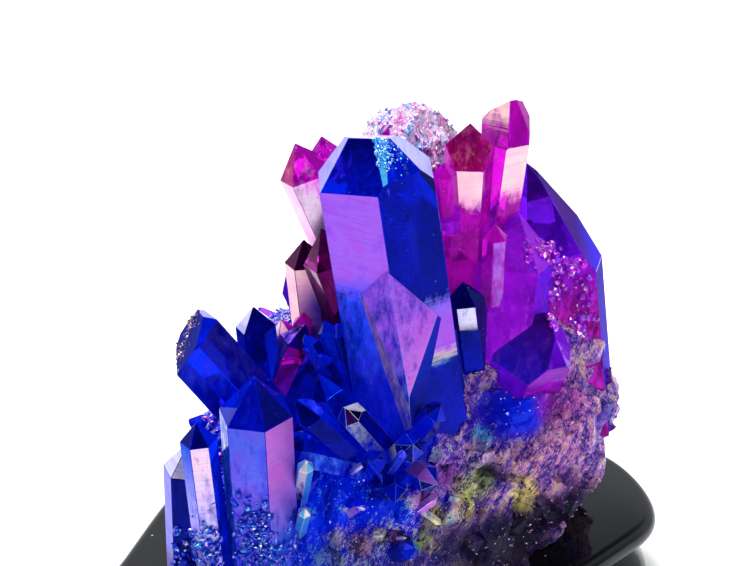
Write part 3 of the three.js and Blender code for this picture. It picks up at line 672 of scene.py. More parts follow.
def coated_rock():
    """Broken quartz: striped and mottled coating where it is bare, plain elsewhere, with a
    painted shade at the front of its foot, painted white glints and a painted glow.
    """
    if "coated rock" in bpy.data.materials:
        return bpy.data.materials["coated rock"]
    made = Finish(bpy.data.materials.new("coated rock"))
    place = made.place()
    crust = made.number_of("crust")
    grain = made.noise(place, GRAIN_SIZE, detail=5.0, roughness=0.65)
    tilted = made.moved(place, rotation=STRIPE_TILT)
    lines = made.noise(made.moved(tilted, (3400, 2300, 520)), 1.0, detail=5.0,
                       roughness=0.6, distortion=0.8)
    patches = made.noise(place, PATCH_SIZE)
    ridges = made.noise(made.moved(tilted, (420, 300, 80)), 1.0, detail=3.0)
    # The painted shade stored on the rock sharpens and darkens its stripes, and mixes in ink,
    # at the front of its foot.
    painted_shade = made.number_of("shade")
    level = (lines - 0.5) * 2.2 + (grain - 0.5) * 1.3 + (ridges - 0.5) * 1.5 + 0.5
    level = (lines - 0.5) * painted_shade * 1.4 + level - painted_shade * 0.12
    cool = made.ramp(level, [(0.1, INK), (0.32, DEEP), (0.5, BLUE), (0.6, VIOLET),
                             (0.68, LILAC), (0.78, MOSS), (0.9, CYAN)])
    warm = made.ramp(level, [(0.04, INK), (0.18, DEEP), (0.3, DUSK), (0.42, MAUVE),
                             (0.54, TAN), (0.66, PINK), (0.78, PEACH), (0.92, MOSS)])
    warmth = (made.number_of("warmth") + (patches - 0.5) * 2.0 + (grain - 0.5)).clamped()
    film = made.mix(warmth, cool, warm)
    patch = made.mix(level.between(0.2, 0.6), INK, made.colour_of("patch"))
    film = made.mix((made.number_of("patch_share") * (grain + 0.5)).clamped(), film, patch)
    # Rare pearl specks are painted white glints, which the coating always covers.
    specks = made.specks(place, 0.0014, 0.09, 0.16)
    rare = made.noise(place, 0.005, detail=1.0).between(0.46, 0.56)
    glint = (specks * rare).clamped()
    frost = made.ramp(level, [(0.12, ROSE), (0.28, PINK), (0.42, PEARL), (0.56, PEARL),
                              (0.64, PEACH), (0.72, LAVENDER), (0.8, SKY), (0.9, CYAN)])
    film = made.mix(painted_shade * painted_shade * 0.85, film, INK)
    film = made.mix(glint, made.mix(made.number_of("pale"), film, frost), PEARL)
    normal = made.bump((grain * 0.3 + lines * 0.4 + ridges) * crust, 0.002)
    # The rock gives off a painted glow of its tint, dimmed to ink in patches.
    tint = made.mix(patches.between(0.36, 0.6), INK, made.colour_of("tint"))
    body = made.principled(base_color=made.colour_of("tint"), roughness=0.12,
                           ior=QUARTZ_IOR, transmission_weight=0.35,
                           specular_ior_level=0.4, specular_tint=(0.2, 0.3, 1.0),
                           normal=normal, emission_color=tint, emission_strength=PAINTED_GLOW)
    coating = made.principled(base_color=film, metallic=0.35, roughness=0.32, normal=normal)
    cover = (level * 2.0 - 0.5 + (crust - 0.5) * 2.6 + glint * 3.0).clamped()
    return made.done(made.blend(cover, body, coating))


def coated_druse():
    """Tiny crystals: each keeps its own tint and coating colour."""
    if "coated druse" in bpy.data.materials:
        return bpy.data.materials["coated druse"]
    made = Finish(bpy.data.materials.new("coated druse"))
    glass = made.principled(base_color=made.colour_of("tint"), transmission_weight=0.5,
                            roughness=0.06, ior=QUARTZ_IOR, specular_ior_level=0.3)
    coating = made.principled(base_color=made.colour_of("film"), metallic=0.6,
                              roughness=0.24)
    return made.done(made.blend(made.number_of("share"), glass, coating))


def black_lacquer(colour):
    """Polished lacquer with a few dust specks."""
    made = Finish(bpy.data.materials.new("black lacquer"))
    place = made.place()
    dust = made.specks(place, 0.004, 0.05, 0.07)
    rub = made.noise(place, 0.02, detail=3.0)
    colour = made.mix(dust, tuple(colour), DUST)
    rough = rub * 0.05 + 0.05 + dust * 0.4
    return made.done(made.principled(
        base_color=colour, roughness=rough, ior=1.42, specular_tint=(0.75, 0.85, 1.0),
        coat_weight=0.15, coat_roughness=0.03))


def white_table(colour):
    """Plain and matt."""
    made = Finish(bpy.data.materials.new("white table"))
    return made.done(made.principled(base_color=tuple(colour), roughness=0.7))


# ------------ meshes


def linked(name, data):
    """A new object in the scene."""
    made = bpy.data.objects.new(name, data)
    bpy.context.scene.collection.objects.link(made)
    return made


def cluster_piece(name, mesh):
    """Adds a piece of the cluster; together the pieces stand in for its one solid."""
    piece = linked(name, mesh)
    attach(piece, "root")
    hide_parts("quartz_cluster")


def new_object(name, points, faces, material=None):
    """A mesh object from points in millimetres."""
    mesh = bpy.data.meshes.new(name)
    mesh.from_pydata((np.asarray(points) * MM).tolist(), [], faces)
    if material:
        mesh.materials.append(material)
    return linked(name, mesh)


def mesh_points(mesh):
    """A mesh's vertices as an array in millimetres."""
    flat = np.empty(len(mesh.vertices) * 3, np.float32)
    mesh.vertices.foreach_get("co", flat)
    return flat.reshape(-1, 3).astype(float) / MM


def store(mesh, name, values, domain="FACE"):
    """Stores an array on a mesh as a named attribute; rows of four are colours."""
    values = np.asarray(values, np.float32)
    colours = values.ndim > 1 and values.shape[-1] == 4
    attribute = mesh.attributes.new(name, "FLOAT_COLOR" if colours else "FLOAT", domain)
    attribute.data.foreach_set("color" if colours else "value", values.ravel())


def scatter(n):
    """A repeatable number from 0 to 1 for each number n."""
    value = math.sin(n * 127.1 + 11.7) * 43758.5453
    return value - math.floor(value)


def pick(span, n):
    """The repeatable number for n, stretched from 0 to 1 over a span."""
    return span[0] + (span[1] - span[0]) * scatter(n)


def unit(vector):
    """A vector, or each row of an array, brought to length 1."""
    vector = np.asarray(vector, float)
    return vector / np.linalg.norm(vector, axis=-1, keepdims=True)


def crystal_planes(crystal):
    """Planes that enclose one quartz point, as normals, reaches and names.

    A point is inside where normal . point <= reach for every plane: six sides round the
    axis, six tip faces that lean on the point of the axis, the base, and any breaks."""
    foot = np.array(crystal["foot"], float)
    tip = np.array(crystal["tip"], float)
    width = crystal["width"]
    axis = unit(tip - foot)
    across = np.array((1.0, 0, 0)) if abs(axis[0]) <= 0.9 else np.array((0, 0, -1.0))
    across = unit(across - axis * (across @ axis))
    away = np.cross(axis, across)
    planes = [(-axis, -axis @ foot, "base")]
    for i, (cap, side) in enumerate(zip(crystal["caps"], crystal["sides"])):
        angle = math.radians(crystal["turn"] - 90 + 60 * i)
        outward = across * math.cos(angle) + away * math.sin(angle)
        planes.append((outward, outward @ foot + (0.5 + side) * width, f"side{i}"))
        slant = outward * math.sin(TIP_FACE_ANGLE) + axis * math.cos(TIP_FACE_ANGLE)
        planes.append((slant, slant @ tip + cap * width, f"tip{i}"))
    for i, (at, facing) in enumerate(crystal["breaks"]):
        normal = unit(facing)
        planes.append((normal, normal @ np.array(at, float), f"break{i}"))
    normals, reaches, names = zip(*planes)
    return np.array(normals), np.array(reaches), names


def inside_of(points, crystal):
    """Which points lie inside a crystal."""
    normals, reaches, _ = crystal_planes(crystal)
    return (points @ normals.T < reaches - INSIDE_MARGIN).all(axis=1)


def polytope(normals, reaches):
    """Corners and flat faces of the solid that planes enclose.

    Every three planes that meet in one point give a corner if it is inside all of them."""
    triples = np.array(list(combinations(range(len(reaches)), 3)))
    matrices = normals[triples]
    solvable = np.abs(np.linalg.det(matrices)) > 1e-6
    triples = triples[solvable]
    points = np.linalg.solve(matrices[solvable], reaches[triples][..., None])[..., 0]
    inside = (points @ normals.T <= reaches + 1e-5).all(axis=1)
    points, triples = points[inside], triples[inside]
    _, first, same = np.unique(np.round(points, 3), axis=0, return_index=True,
                               return_inverse=True)
    corners = points[first]
    faces = []
    for plane, normal in enumerate(normals):
        ring = np.unique(same.ravel()[(triples == plane).any(axis=1)])
        if len(ring) < 3:
            continue
        arms = corners[ring] - corners[ring].mean(axis=0)
        start = unit(arms[0])
        angles = np.arctan2(arms @ np.cross(normal, start), arms @ start)
        faces.append([int(corner) for corner in ring[np.argsort(angles)]])
    return corners, faces


def crystal_object(crystal, edge_round, families):
    """One quartz point with slightly bevelled edges, its looks stored on its faces; the
    bevels are coated in part as a painted highlight.
    """
    normals, reaches, names = crystal_planes(crystal)
    axis = np.subtract(crystal["tip"], crystal["foot"])
    length = np.linalg.norm(axis)
    made = new_object(crystal["name"], *polytope(normals, reaches))
    mesh = made.data
    shape = bmesh.new()
    shape.from_mesh(mesh)
    bmesh.ops.bevel(shape, geom=shape.edges[:], offset=(crystal["wear"] or edge_round) * MM,
                    segments=1, affect="EDGES", clamp_overlap=True, profile=0.5)
    shape.normal_update()
    centres = np.array([face.calc_center_median() for face in shape.faces]) / MM
    facing = np.array([face.normal for face in shape.faces])
    shape.to_mesh(mesh)
    shape.free()
    match = ((facing @ normals.T > SAME_WAY)
             & (np.abs(centres @ normals.T - reaches) < SAME_PLANE))
    plane_of = np.where(match.any(axis=1), match.argmax(axis=1), -1)
    grades = (mesh_points(mesh) - crystal["foot"]) @ (axis / length) / length
    corner_points = np.empty(len(mesh.loops), np.int32)
    mesh.loops.foreach_get("vertex_index", corner_points)
    store(mesh, "grade", grades[corner_points], "CORNER")
    paint_faces(mesh, crystal, names, plane_of)
    for name, values in rock_looks(centres).items():
        store(mesh, name, values)
    for family in families:
        mesh.materials.append(family)
    mesh.polygons.foreach_set(
        "material_index", np.full(len(centres), LOOKS[crystal["look"]]["family"]))
    return made


def paint_faces(mesh, crystal, names, plane_of):
    """Stores each face's look, as the values that its fade runs between.

    plane_of gives the number of each face's plane, and -1, the last look, to the edge strips,
    whose coating is in part a painted highlight."""
    looks = [{"fade": (0.0, 1.0), "foot": -1.0, **LOOKS[crystal["look"]], **own}
             for own in (*(crystal["faces"].get(name, {}) for name in names),
                         crystal["edge_sheen"])]
    for key, words in (("tint", ("tint_low", "tint_high")),
                       ("film", ("film_low", "film_high")),
                       ("share", ("share_low", "share_high")),
                       ("fade", ("fade_start", "fade_end"))):
        for end, word in enumerate(words):
            store(mesh, word, np.array([look[key][end] for look in looks])[plane_of])
    store(mesh, "foot", np.array([look["foot"] for look in looks])[plane_of])


def uneven_caps(n):
    """Shares by which the six tip faces of a small crystal are moved outwards."""
    return tuple(TIP_UNEVENNESS * scatter(n + 0.17 * i) for i in range(6))


def glints(n):
    """Looks for the faces of a small crystal, some of them bright, picked by its number."""
    faces = {}
    for i, name in enumerate(POINT_FACES):
        roll = scatter(n + 0.31 * i + 0.7)
        if roll < GLINT_SHARE:
            film = GLINT_FILMS[int(roll / GLINT_SHARE * len(GLINT_FILMS))]
            other = GLINT_FILMS[int(pick((0, len(GLINT_FILMS)), n + 0.19 * i))]
            faces[name] = coat(film, other, 0.85, 0.75)
        elif roll > 1 - GLINT_SHARE:
            faces[name] = stone(NAVY, INK)
    return faces


def fan_crystals():
    """The crystals of the fans, a little uneven in width and turn."""
    crystals = []
    for number, (root, width, edges, tips, faces) in enumerate(FANS):
        for i, tip in enumerate(tips):
            n = 40 * (number + 1) + i
            own = dict.fromkeys(FAN_DARK_FACES, DARK) | faces.get(i, {})
            crystals.append(crystal("fan", root, tip, width * pick(FAN_WIDTHS, n),
                                    pick(ANY_TURN, n + 0.5), "blue", uneven_caps(n),
                                    **edges, **own))
    return crystals


def splinter_crystals():
    """The splinters, coated on every face."""
    return [crystal("splinter", foot, tip, width, pick(ANY_TURN, i), "blue",
                    uneven_caps(i), edge_sheen=SPLINTER_EDGE_SHEEN, wear=SPLINTER_WEAR,
                    **dict.fromkeys(POINT_FACES, coat(*film, 0.45, 0.85)))
            for i, (foot, tip, width, film) in enumerate(SPLINTERS)]


def grown_crystals():
    """Small crystals that stand on the rock along seeded directions from its middle."""
    crystals = []
    for number, group in enumerate(GROWN_SETS):
        count, azimuths, rises, lengths, widths, lean, look = group
        for n in range(100 * (number + 1), 100 * (number + 1) + count):
            azimuth = math.radians(pick(azimuths, n + 0.11))
            rise = math.radians(pick(rises, n + 0.23))
            outward = unit((math.cos(azimuth), math.sin(azimuth), math.tan(rise)))
            width = pick(widths, n + 0.37)
            root = rock_points(outward[None])[0]
            heading = outward + lean
            heading[:2] += [pick(HEADING_STRAY, n + step) for step in (0.41, 0.53)]
            heading = unit(heading)
            length = pick(lengths, n + 0.61)
            buried = root[0] > BURIED_CORNER[0] and root[1] < BURIED_CORNER[1]
            if buried:
                length *= BURIED_SHARE
            crystals.append(crystal(
                "grown", root - ROOT_DEPTH * width * heading, root + length * heading,
                width, pick(ANY_TURN, n + 0.73), "crust" if buried else look,
                uneven_caps(n), **glints(n)))
    return crystals


def joined(objects):
    """The union of closed shells as one mesh; the shells are used up."""
    shells = bpy.data.collections.new("shells")
    bpy.context.scene.collection.children.link(shells)
    for shell in objects[1:]:
        bpy.context.scene.collection.objects.unlink(shell)
        shells.objects.link(shell)
    join = objects[0].modifiers.new("join", "BOOLEAN")
    join.operation = "UNION"
    join.solver = "MANIFOLD"
    join.operand_type = "COLLECTION"
    join.collection = shells
    ready = bpy.context.evaluated_depsgraph_get()
    mesh = bpy.data.meshes.new_from_object(objects[0].evaluated_get(ready))
    for shell in objects:
        data = shell.data
        bpy.data.objects.remove(shell)
        bpy.data.meshes.remove(data)
    bpy.data.collections.remove(shells)
    return mesh


# ------------ rock


def rock_points(directions):
    """The rock's surface along unit directions from its middle.

    Each rounded mass is left at its own distance along the ray; a power mean of those
    distances, with a high exponent, joins the masses with a narrow crease, and products
    of sines add low lumps."""
    middle = np.array(ROCK_MIDDLE, float)
    total = np.zeros(len(directions))
    for at, radii in ROCK_MASSES:
        radii = np.array(radii, float)
        offset = (middle - at) / radii
        step = directions / radii
        a = (step * step).sum(axis=1)
        b = step @ offset
        c = offset @ offset - 1
        total += ((-b + np.sqrt(b * b - a * c)) / a) ** ROCK_BLEND
    x, y, z = directions.T
    lumps = np.sin(9 * x + 4 * z) * np.sin(11 * y - 3 * x) * np.sin(10 * z + 5 * y)
    lumps += 0.6 * np.sin(23 * x - 7 * y) * np.sin(19 * z + 8 * x)
    reach = total ** (1 / ROCK_BLEND) + ROCK_LUMP * lumps
    return middle + directions * reach[:, None]


def broken_rock(directions):
    """The rock with the flat, stepped breaks of quartz, cut level at its underside.

    Scattered cell centres split the surface; inside a cell the surface is moved along the
    ray by a plane of the cell's own tilt and step, so that each cell is one flat facet."""
    middle = np.array(ROCK_MIDDLE, float)
    points = rock_points(directions)
    reach = np.linalg.norm(points - middle, axis=1)
    for seed, (size, step, tilt) in enumerate(ROCK_BREAKS, 70):
        random = np.random.default_rng(seed)
        count = int(BREAK_CELLS / size ** 2)
        centres = rock_points(unit(random.normal(size=(count, 3))))
        steps = random.uniform(-step, step, count)
        tilts = random.normal(scale=tilt, size=(count, 3))
        nearest = nearest_of(points * ROCK_STRETCH, centres * ROCK_STRETCH)
        away = ((points - centres[nearest]) * tilts[nearest]).sum(axis=1)
        most = TILT_LIMIT * step
        reach = reach + steps[nearest] + np.clip(away, -most, most)
    falling = directions[:, 2] < -1e-3
    down = (CLUSTER_BASE - middle[2]) / np.where(falling, directions[:, 2], -1)
    reach = np.where(falling, np.minimum(reach, down), reach)
    return middle + directions * reach[:, None]


def nearest_of(points, centres):
    """For each point, which centre is nearest, worked out in blocks to save memory."""
    centres = centres.astype(np.float32)
    squares = (centres ** 2).sum(axis=1) / 2
    count = max(1, len(points) // NEAREST_BLOCK)
    blocks = np.array_split(points.astype(np.float32), count)
    return np.concatenate([(squares - block @ centres.T).argmin(axis=1) for block in blocks])


def rising(values, zone):
    """0 up to the start of a zone, rising to 1 across it, as a column."""
    return np.clip((values - zone[0]) / zone[1], 0, 1)[:, None]


def zone_shares(points, jitter=0.0):
    """How far each place is to the right, towards the top, and towards the foot, 0 to 1."""
    x, _, z = points.T
    return (rising(x + jitter, RIGHT_ZONE), rising(z + jitter, TOP_ZONE),
            rising(jitter - z, FOOT_ZONE))


def zone_colours(points, jitter=0.0):
    """Tint and film colours by place: blue at the left, purple right, magenta on top."""
    right, high, low = zone_shares(points, jitter)
    tint = np.array(BLUE) * (1 - right) + np.array(GRAPE) * right
    tint = tint * (1 - low * right) + np.array(PLUM) * low * right
    film = np.array(LAVENDER) * (1 - right) + np.array(TAN) * right
    return (tint * (1 - high) + np.array(ROSE) * high,
            film * (1 - high) + np.array(PEARL) * high)


def rock_looks(points):
    """What the rock's coating does at each place, by zone and by named patch, and where a
    painted shade darkens the front of its foot.
    """
    tint, _ = zone_colours(points)
    right, high, low = zone_shares(points)
    x, y, z = points.T
    crust = BARE_CRUST + right + high + rising(y, BACK_ZONE) + FOOT_CRUST * low
    colours = np.zeros((len(points), 4))
    total = np.full((len(points), 1), 1e-6)
    for at, radius, colour, strength, thicker in ROCK_PATCHES:
        away = np.linalg.norm(points - np.array(at), axis=1)[:, None]
        near = np.clip(PATCH_EDGE - away / radius, 0, 1) * strength
        colours += near * colour
        total += near
        crust = crust + near * thicker
        if thicker < 0:
            tint = tint * (1 - near) + near * colour
    # A painted shade at the front of the foot, stronger at the right.
    painted_shade = rising(-z, PAINTED_SHADE_FOOT) * rising(-y, PAINTED_SHADE_FRONT)
    painted_shade *= PAINTED_SHADE_STRENGTH[0] + PAINTED_SHADE_STRENGTH[1] * rising(x, PAINTED_SHADE_RIGHT)
    return {"shade": painted_shade, "tint": tint,
            "crust": np.clip(crust, 0, 1), "pale": high,
            "warmth": np.clip(right * 1.1 + high + FOOT_CRUST * low, 0, 1),
            "patch": colours / total, "patch_share": np.clip(total, 0, 1)}


# ------------ druse and crumbs


def druse_mesh(name, roots, headings, widths, lengths, random):
    """Many six-sided points as one mesh, one matrix product for all of them.

    The pattern is two rings of six and an apex; each copy is turned so that its axis is
    its heading, stretched to its width and length, and moved to its root."""
    turn = np.radians(np.arange(6) * 60)
    ring = np.stack((np.cos(turn), np.sin(turn), np.zeros(6)), axis=1) * 0.5
    pattern = np.vstack((ring, ring + (0, 0, DRUSE_SHOULDER), [(0, 0, 1)]))
    faces = [(i, (i + 1) % 6, 6 + (i + 1) % 6, 6 + i) for i in range(6)]
    faces += [(6 + i, 6 + (i + 1) % 6, 12) for i in range(6)] + [(5, 4, 3, 2, 1, 0)]
    count = len(roots)
    side = unit(np.cross(headings, unit(random.normal(size=(count, 3)))))
    third = np.cross(headings, side)
    squash = random.uniform(*DRUSE_SQUASH, count)
    frames = np.stack((side * widths[:, None], third * (widths * squash)[:, None],
                       headings * lengths[:, None]), axis=1)
    points = (pattern[None] @ frames + roots[:, None]).reshape(-1, 3)
    offsets = np.arange(count) * len(pattern)
    loops = (np.concatenate(faces)[None] + offsets[:, None]).ravel()
    totals = np.tile([len(face) for face in faces], count)
    mesh = bpy.data.meshes.new(name)
    mesh.vertices.add(len(points))
    mesh.vertices.foreach_set("co", (points * MM).ravel())
    mesh.loops.add(len(loops))
    mesh.loops.foreach_set("vertex_index", loops)
    mesh.polygons.add(len(totals))
    mesh.polygons.foreach_set("loop_start", np.concatenate(([0], np.cumsum(totals)[:-1])))
    mesh.update(calc_edges=True)
    mesh.validate()
    mesh.materials.append(coated_druse())
    return mesh


def paint_druse(mesh, roots, random, bright):
    """Gives each small crystal its zone's tint and each of its faces a film of its own.

    The films follow a smooth field, a sum of sines of the place, with a little scatter."""
    count = len(roots)
    tint, film = zone_colours(roots, random.uniform(*ZONE_BLUR, count))
    total = count * DRUSE_FACES
    x, y, z = roots.T
    field = (np.sin(0.5 * x + 1.3) + np.sin(0.45 * y + 0.4 * x)
             + np.sin(0.55 * z - 0.3 * x)) / 3
    spot = np.repeat((field + 1) / 2, DRUSE_FACES)
    spot += random.normal(scale=FILM_SCATTER, size=total)
    picked = np.array(DRUSE_FILMS)[(np.clip(spot, 0, 0.999) * len(DRUSE_FILMS)).astype(int)]
    zone = np.repeat(film, DRUSE_FACES, axis=0)
    blend = random.uniform(0, 1, (total, 1))
    store(mesh, "tint", np.repeat(tint, DRUSE_FACES, axis=0))
    store(mesh, "film", zone * (1 - blend) + picked * blend)
    store(mesh, "share", np.where(random.uniform(size=total) < bright, *DRUSE_SHARES))


def crumb_places(random):
    """Roots on the crystals' own faces, the way each face looks, and the kind of crumb."""
    named = {crystal["name"]: crystal for crystal in LARGE_CRYSTALS}
    roots, ways, kinds = [], [], []
    for kind, name, face, *patches in CRUMBS:
        normals, reaches, names = crystal_planes(named[name])
        number = names.index(face)
        way, reach = normals[number], reaches[number]
        for at, spread, count in patches:
            points = at + random.normal(scale=spread, size=(count, 3))
            points -= (points @ way - reach)[:, None] * way
            kept = points[(points @ normals.T <= reaches + CRUMB_MARGIN).all(axis=1)]
            roots.append(kept)
            ways.append(np.repeat(way[None], len(kept), axis=0))
            kinds += [kind] * len(kept)
    return np.vstack(roots), np.vstack(ways), np.array(kinds)


# ------------ stand


def smooth_outline(corners, steps):
    """A closed Catmull-Rom curve through corners: points and unit tangents."""
    corners = np.array(corners, float)
    spot = np.arange(steps) / steps * len(corners)
    index = spot.astype(int)
    t = (spot - index)[:, None]
    p0, p1, p2, p3 = (corners[(index + k) % len(corners)] for k in (-1, 0, 1, 2))
    a = 2 * p1
    b = p2 - p0
    c = 2 * p0 - 5 * p1 + 4 * p2 - p3
    d = -p0 + 3 * p1 - 3 * p2 + p3
    points = (a + b * t + c * t * t + d * t * t * t) / 2
    tangents = unit((b + 2 * c * t + 3 * d * t * t) / 2)
    return points, tangents


def stand_profile():
    """The stand's edge from the top down, as insets from the outline and heights.

    A half round plate edge, a straight fall to the waist, then an S-curve out to the foot."""
    angle = np.pi * (0.5 - np.arange(BULLNOSE_STEPS + 1) / BULLNOSE_STEPS)
    half = PLATE_THICKNESS / 2
    t = np.arange(OGEE_STEPS + 1) / OGEE_STEPS
    insets = [*(PLATE_ROUND * (1 - np.cos(angle))),
              *(WAIST_INSET + (PLINTH_INSET - WAIST_INSET) * t * t * (3 - 2 * t)),
              PLINTH_INSET, PLINTH_INSET + FOOT_BEVEL]
    heights = [*(STAND_HEIGHT - half + half * np.sin(angle)),
               *(WAIST_HEIGHT + (FOOT_HEIGHT - WAIST_HEIGHT) * t), FOOT_BEVEL, 0]
    return np.array(insets), np.array(heights)


def stand_surface(steps):
    """The stand's profile carried round its outline, closed by a face above and below."""
    outline, tangents = smooth_outline(STAND_OUTLINE, steps)
    insets, heights = stand_profile()
    inward = np.stack((-tangents[:, 1], tangents[:, 0]), axis=1)
    rings = outline[None] + insets[:, None, None] * inward[None]
    levels = np.broadcast_to(heights[:, None, None], (len(heights), steps, 1))
    points = np.concatenate((rings, levels), axis=2).reshape(-1, 3)
    centre = (points.min(axis=0) + points.max(axis=0)) / 2
    points[:, :2] -= centre[:2]
    count = len(heights)
    ring, i = np.meshgrid(np.arange(count - 1), np.arange(steps), indexing="ij")
    here = ring * steps + i
    beside = ring * steps + (i + 1) % steps
    faces = np.stack((here, here + steps, beside + steps, beside), axis=2).reshape(-1, 4)
    top = list(range(steps))
    bottom = list(range((count - 1) * steps, count * steps))[::-1]
    return points, faces.tolist() + [top, bottom]


# ------------ settings and operators


class ClusterSettings(bpy.types.PropertyGroup):
    edge_wear: FloatProperty(
        name="Edge wear", default=0.12, min=0.02, max=0.5,
        description="Width in millimetres of the worn strip along each crystal's edges")
    rock_detail: IntProperty(
        name="Rock detail", description="How many times the rock's surface is divided",
        default=7, min=4, max=7)


class StandSettings(bpy.types.PropertyGroup):
    outline_steps: IntProperty(
        name="Outline steps", description="Points round the stand's edge",
        default=240, min=24, max=480)
    lacquer: FloatVectorProperty(
        name="Lacquer", description="Colour of the stand's lacquer",
        default=(0.004, 0.004, 0.005), min=0, max=1, subtype="COLOR")


class StageSettings(bpy.types.PropertyGroup):
    camera_distance: FloatProperty(
        name="Camera distance", description="From the camera to the point it looks at",
        default=0.446, min=0.2, max=2.0, unit="LENGTH")
    camera_rise: FloatProperty(
        name="Camera rise", description="How far the camera looks down",
        default=math.radians(30), subtype="ANGLE")
    camera_target: FloatVectorProperty(
        name="Camera target", description="The point that the camera looks at",
        default=(0, 0.008, 0.0953), subtype="TRANSLATION")
    floor_size: FloatProperty(
        name="Floor size", description="Width of the table", default=6.0, unit="LENGTH")
    floor_colour: FloatVectorProperty(
        name="Floor colour", description="Colour of the table",
        default=(0.88, 0.88, 0.88), min=0, max=1, subtype="COLOR")
    backdrop: FloatVectorProperty(
        name="Backdrop", description="What the camera sees past the table",
        default=(0.96, 0.96, 0.96), min=0, max=1, subtype="COLOR")


class AURA_OT_crystals(bpy.types.Operator):
    """Builds the large crystals, joined where they meet"""

    bl_idname = "aura.crystals"
    bl_label = "Crystals"

    def execute(self, context):
        wear = context.scene.aura_cluster.edge_wear
        families = [coated_quartz(name, *own) for name, own in FAMILIES.items()]
        families.append(coated_rock())
        crystals = (LARGE_CRYSTALS + fan_crystals() + splinter_crystals()
                    + grown_crystals())
        cluster_piece("crystal_points", joined(
            [crystal_object(crystal, wear, families) for crystal in crystals]))
        return {"FINISHED"}


class AURA_OT_rock(bpy.types.Operator):
    """Builds the rock that the crystals grow from"""

    bl_idname = "aura.rock"
    bl_label = "Rock"

    def execute(self, context):
        ball = bmesh.new()
        bmesh.ops.create_icosphere(
            ball, subdivisions=context.scene.aura_cluster.rock_detail, radius=1.0)
        mesh = bpy.data.meshes.new("matrix_rock")
        ball.to_mesh(mesh)
        ball.free()
        points = broken_rock(unit(mesh_points(mesh)))
        mesh.vertices.foreach_set("co", (points * MM).ravel())
        looks = rock_looks(points)
        for crystal in LARGE_CRYSTALS:
            inside = inside_of(points, crystal)
            looks["crust"][inside] = -1
            looks["tint"][inside] = INNER_TINTS[LOOKS[crystal["look"]]["family"]]
        for name, values in looks.items():
            store(mesh, name, values, "POINT")
        mesh.materials.append(coated_rock())
        mesh.update()
        cluster_piece("matrix_rock", mesh)
        return {"FINISHED"}


class AURA_OT_crumbs(bpy.types.Operator):
    """Builds the crumbs of quartz on chipped faces and edges"""

    bl_idname = "aura.crumbs"
    bl_label = "Crumbs"

    def execute(self, context):
        random = np.random.default_rng(CRUMB_SEED)
        roots, ways, kinds = crumb_places(random)
        count = len(roots)
        lengths, widths = np.empty((2, count))
        tints = np.empty((count, 4))
        films = np.empty((count, DRUSE_FACES, 4))
        shares = np.empty((count, DRUSE_FACES))
        for name, (tint, coatings, bright, span, slim) in CRUMB_KINDS.items():
            own = kinds == name
            each = (own.sum(), DRUSE_FACES)
            lengths[own] = random.uniform(*span, own.sum())
            widths[own] = lengths[own] * random.uniform(*slim, own.sum())
            tints[own] = tint
            films[own] = np.array(coatings)[random.integers(len(coatings), size=each)]
            shares[own] = np.where(random.uniform(size=each) < bright, *CRUMB_SHARES)
        headings = unit(ways + random.normal(scale=CRUMB_STRAY, size=(count, 3))
                        + (0, 0, CRUMB_RISE))
        starts = roots - headings * (CRUMB_BURIED * lengths)[:, None] - ways * CRUMB_DEPTH
        mesh = druse_mesh("face_crumbs", starts, headings, widths, lengths, random)
        store(mesh, "tint", np.repeat(tints, DRUSE_FACES, axis=0))
        store(mesh, "film", films)
        store(mesh, "share", shares)
        cluster_piece("face_crumbs", mesh)
        return {"FINISHED"}


class AURA_OT_druse(bpy.types.Operator):
    """Covers the rock with thousands of tiny crystals"""

    bl_idname = "aura.druse"
    bl_label = "Druse"

    def execute(self, context):
        for name, group in DRUSE_SETS.items():
            seed, wanted, azimuths, rises, span, lean, stray, bright = group
            random = np.random.default_rng(seed)
            ways = unit(random.normal(size=(DRUSE_TRIES * wanted, 3)))
            azimuth = np.degrees(np.arctan2(ways[:, 1], ways[:, 0])) % 360
            rise = np.degrees(np.arcsin(ways[:, 2]))
            kept = (azimuth - azimuths[0]) % 360 <= azimuths[1] - azimuths[0]
            ways = ways[kept & (rise > rises[0]) & (rise < rises[1])]
            roots = broken_rock(ways)
            bare = roots[:, 2] > DRUSE_FLOOR
            for crystal in LARGE_CRYSTALS:
                bare &= ~inside_of(roots, crystal)
            roots, ways = roots[bare][:wanted], ways[bare][:wanted]
            count = len(roots)
            headings = unit(ways + lean + random.normal(scale=stray, size=(count, 3)))
            lengths = random.uniform(*span, count)
            widths = lengths * random.uniform(*DRUSE_SLIMNESS, count)
            starts = roots - headings * (DRUSE_BURIED * lengths)[:, None]
            mesh = druse_mesh(name, starts, headings, widths, lengths, random)
            paint_druse(mesh, roots, random, bright)
            cluster_piece(name, mesh)
        return {"FINISHED"}


class AURA_OT_stand(bpy.types.Operator):
    """Builds the lacquered stand"""

    bl_idname = "aura.stand"
    bl_label = "Stand"

    def execute(self, context):
        settings = context.scene.aura_stand
        points, faces = stand_surface(settings.outline_steps)
        stand = new_object("lacquered_stand", points, faces,
                           black_lacquer(settings.lacquer))
        stand.data.polygons.foreach_set("use_smooth", [True] * (len(faces) - 2) + [False] * 2)
        stand.data.set_sharp_from_angle(angle=math.radians(50))
        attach(stand, "root")
        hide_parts("display_stand")
        return {"FINISHED"}


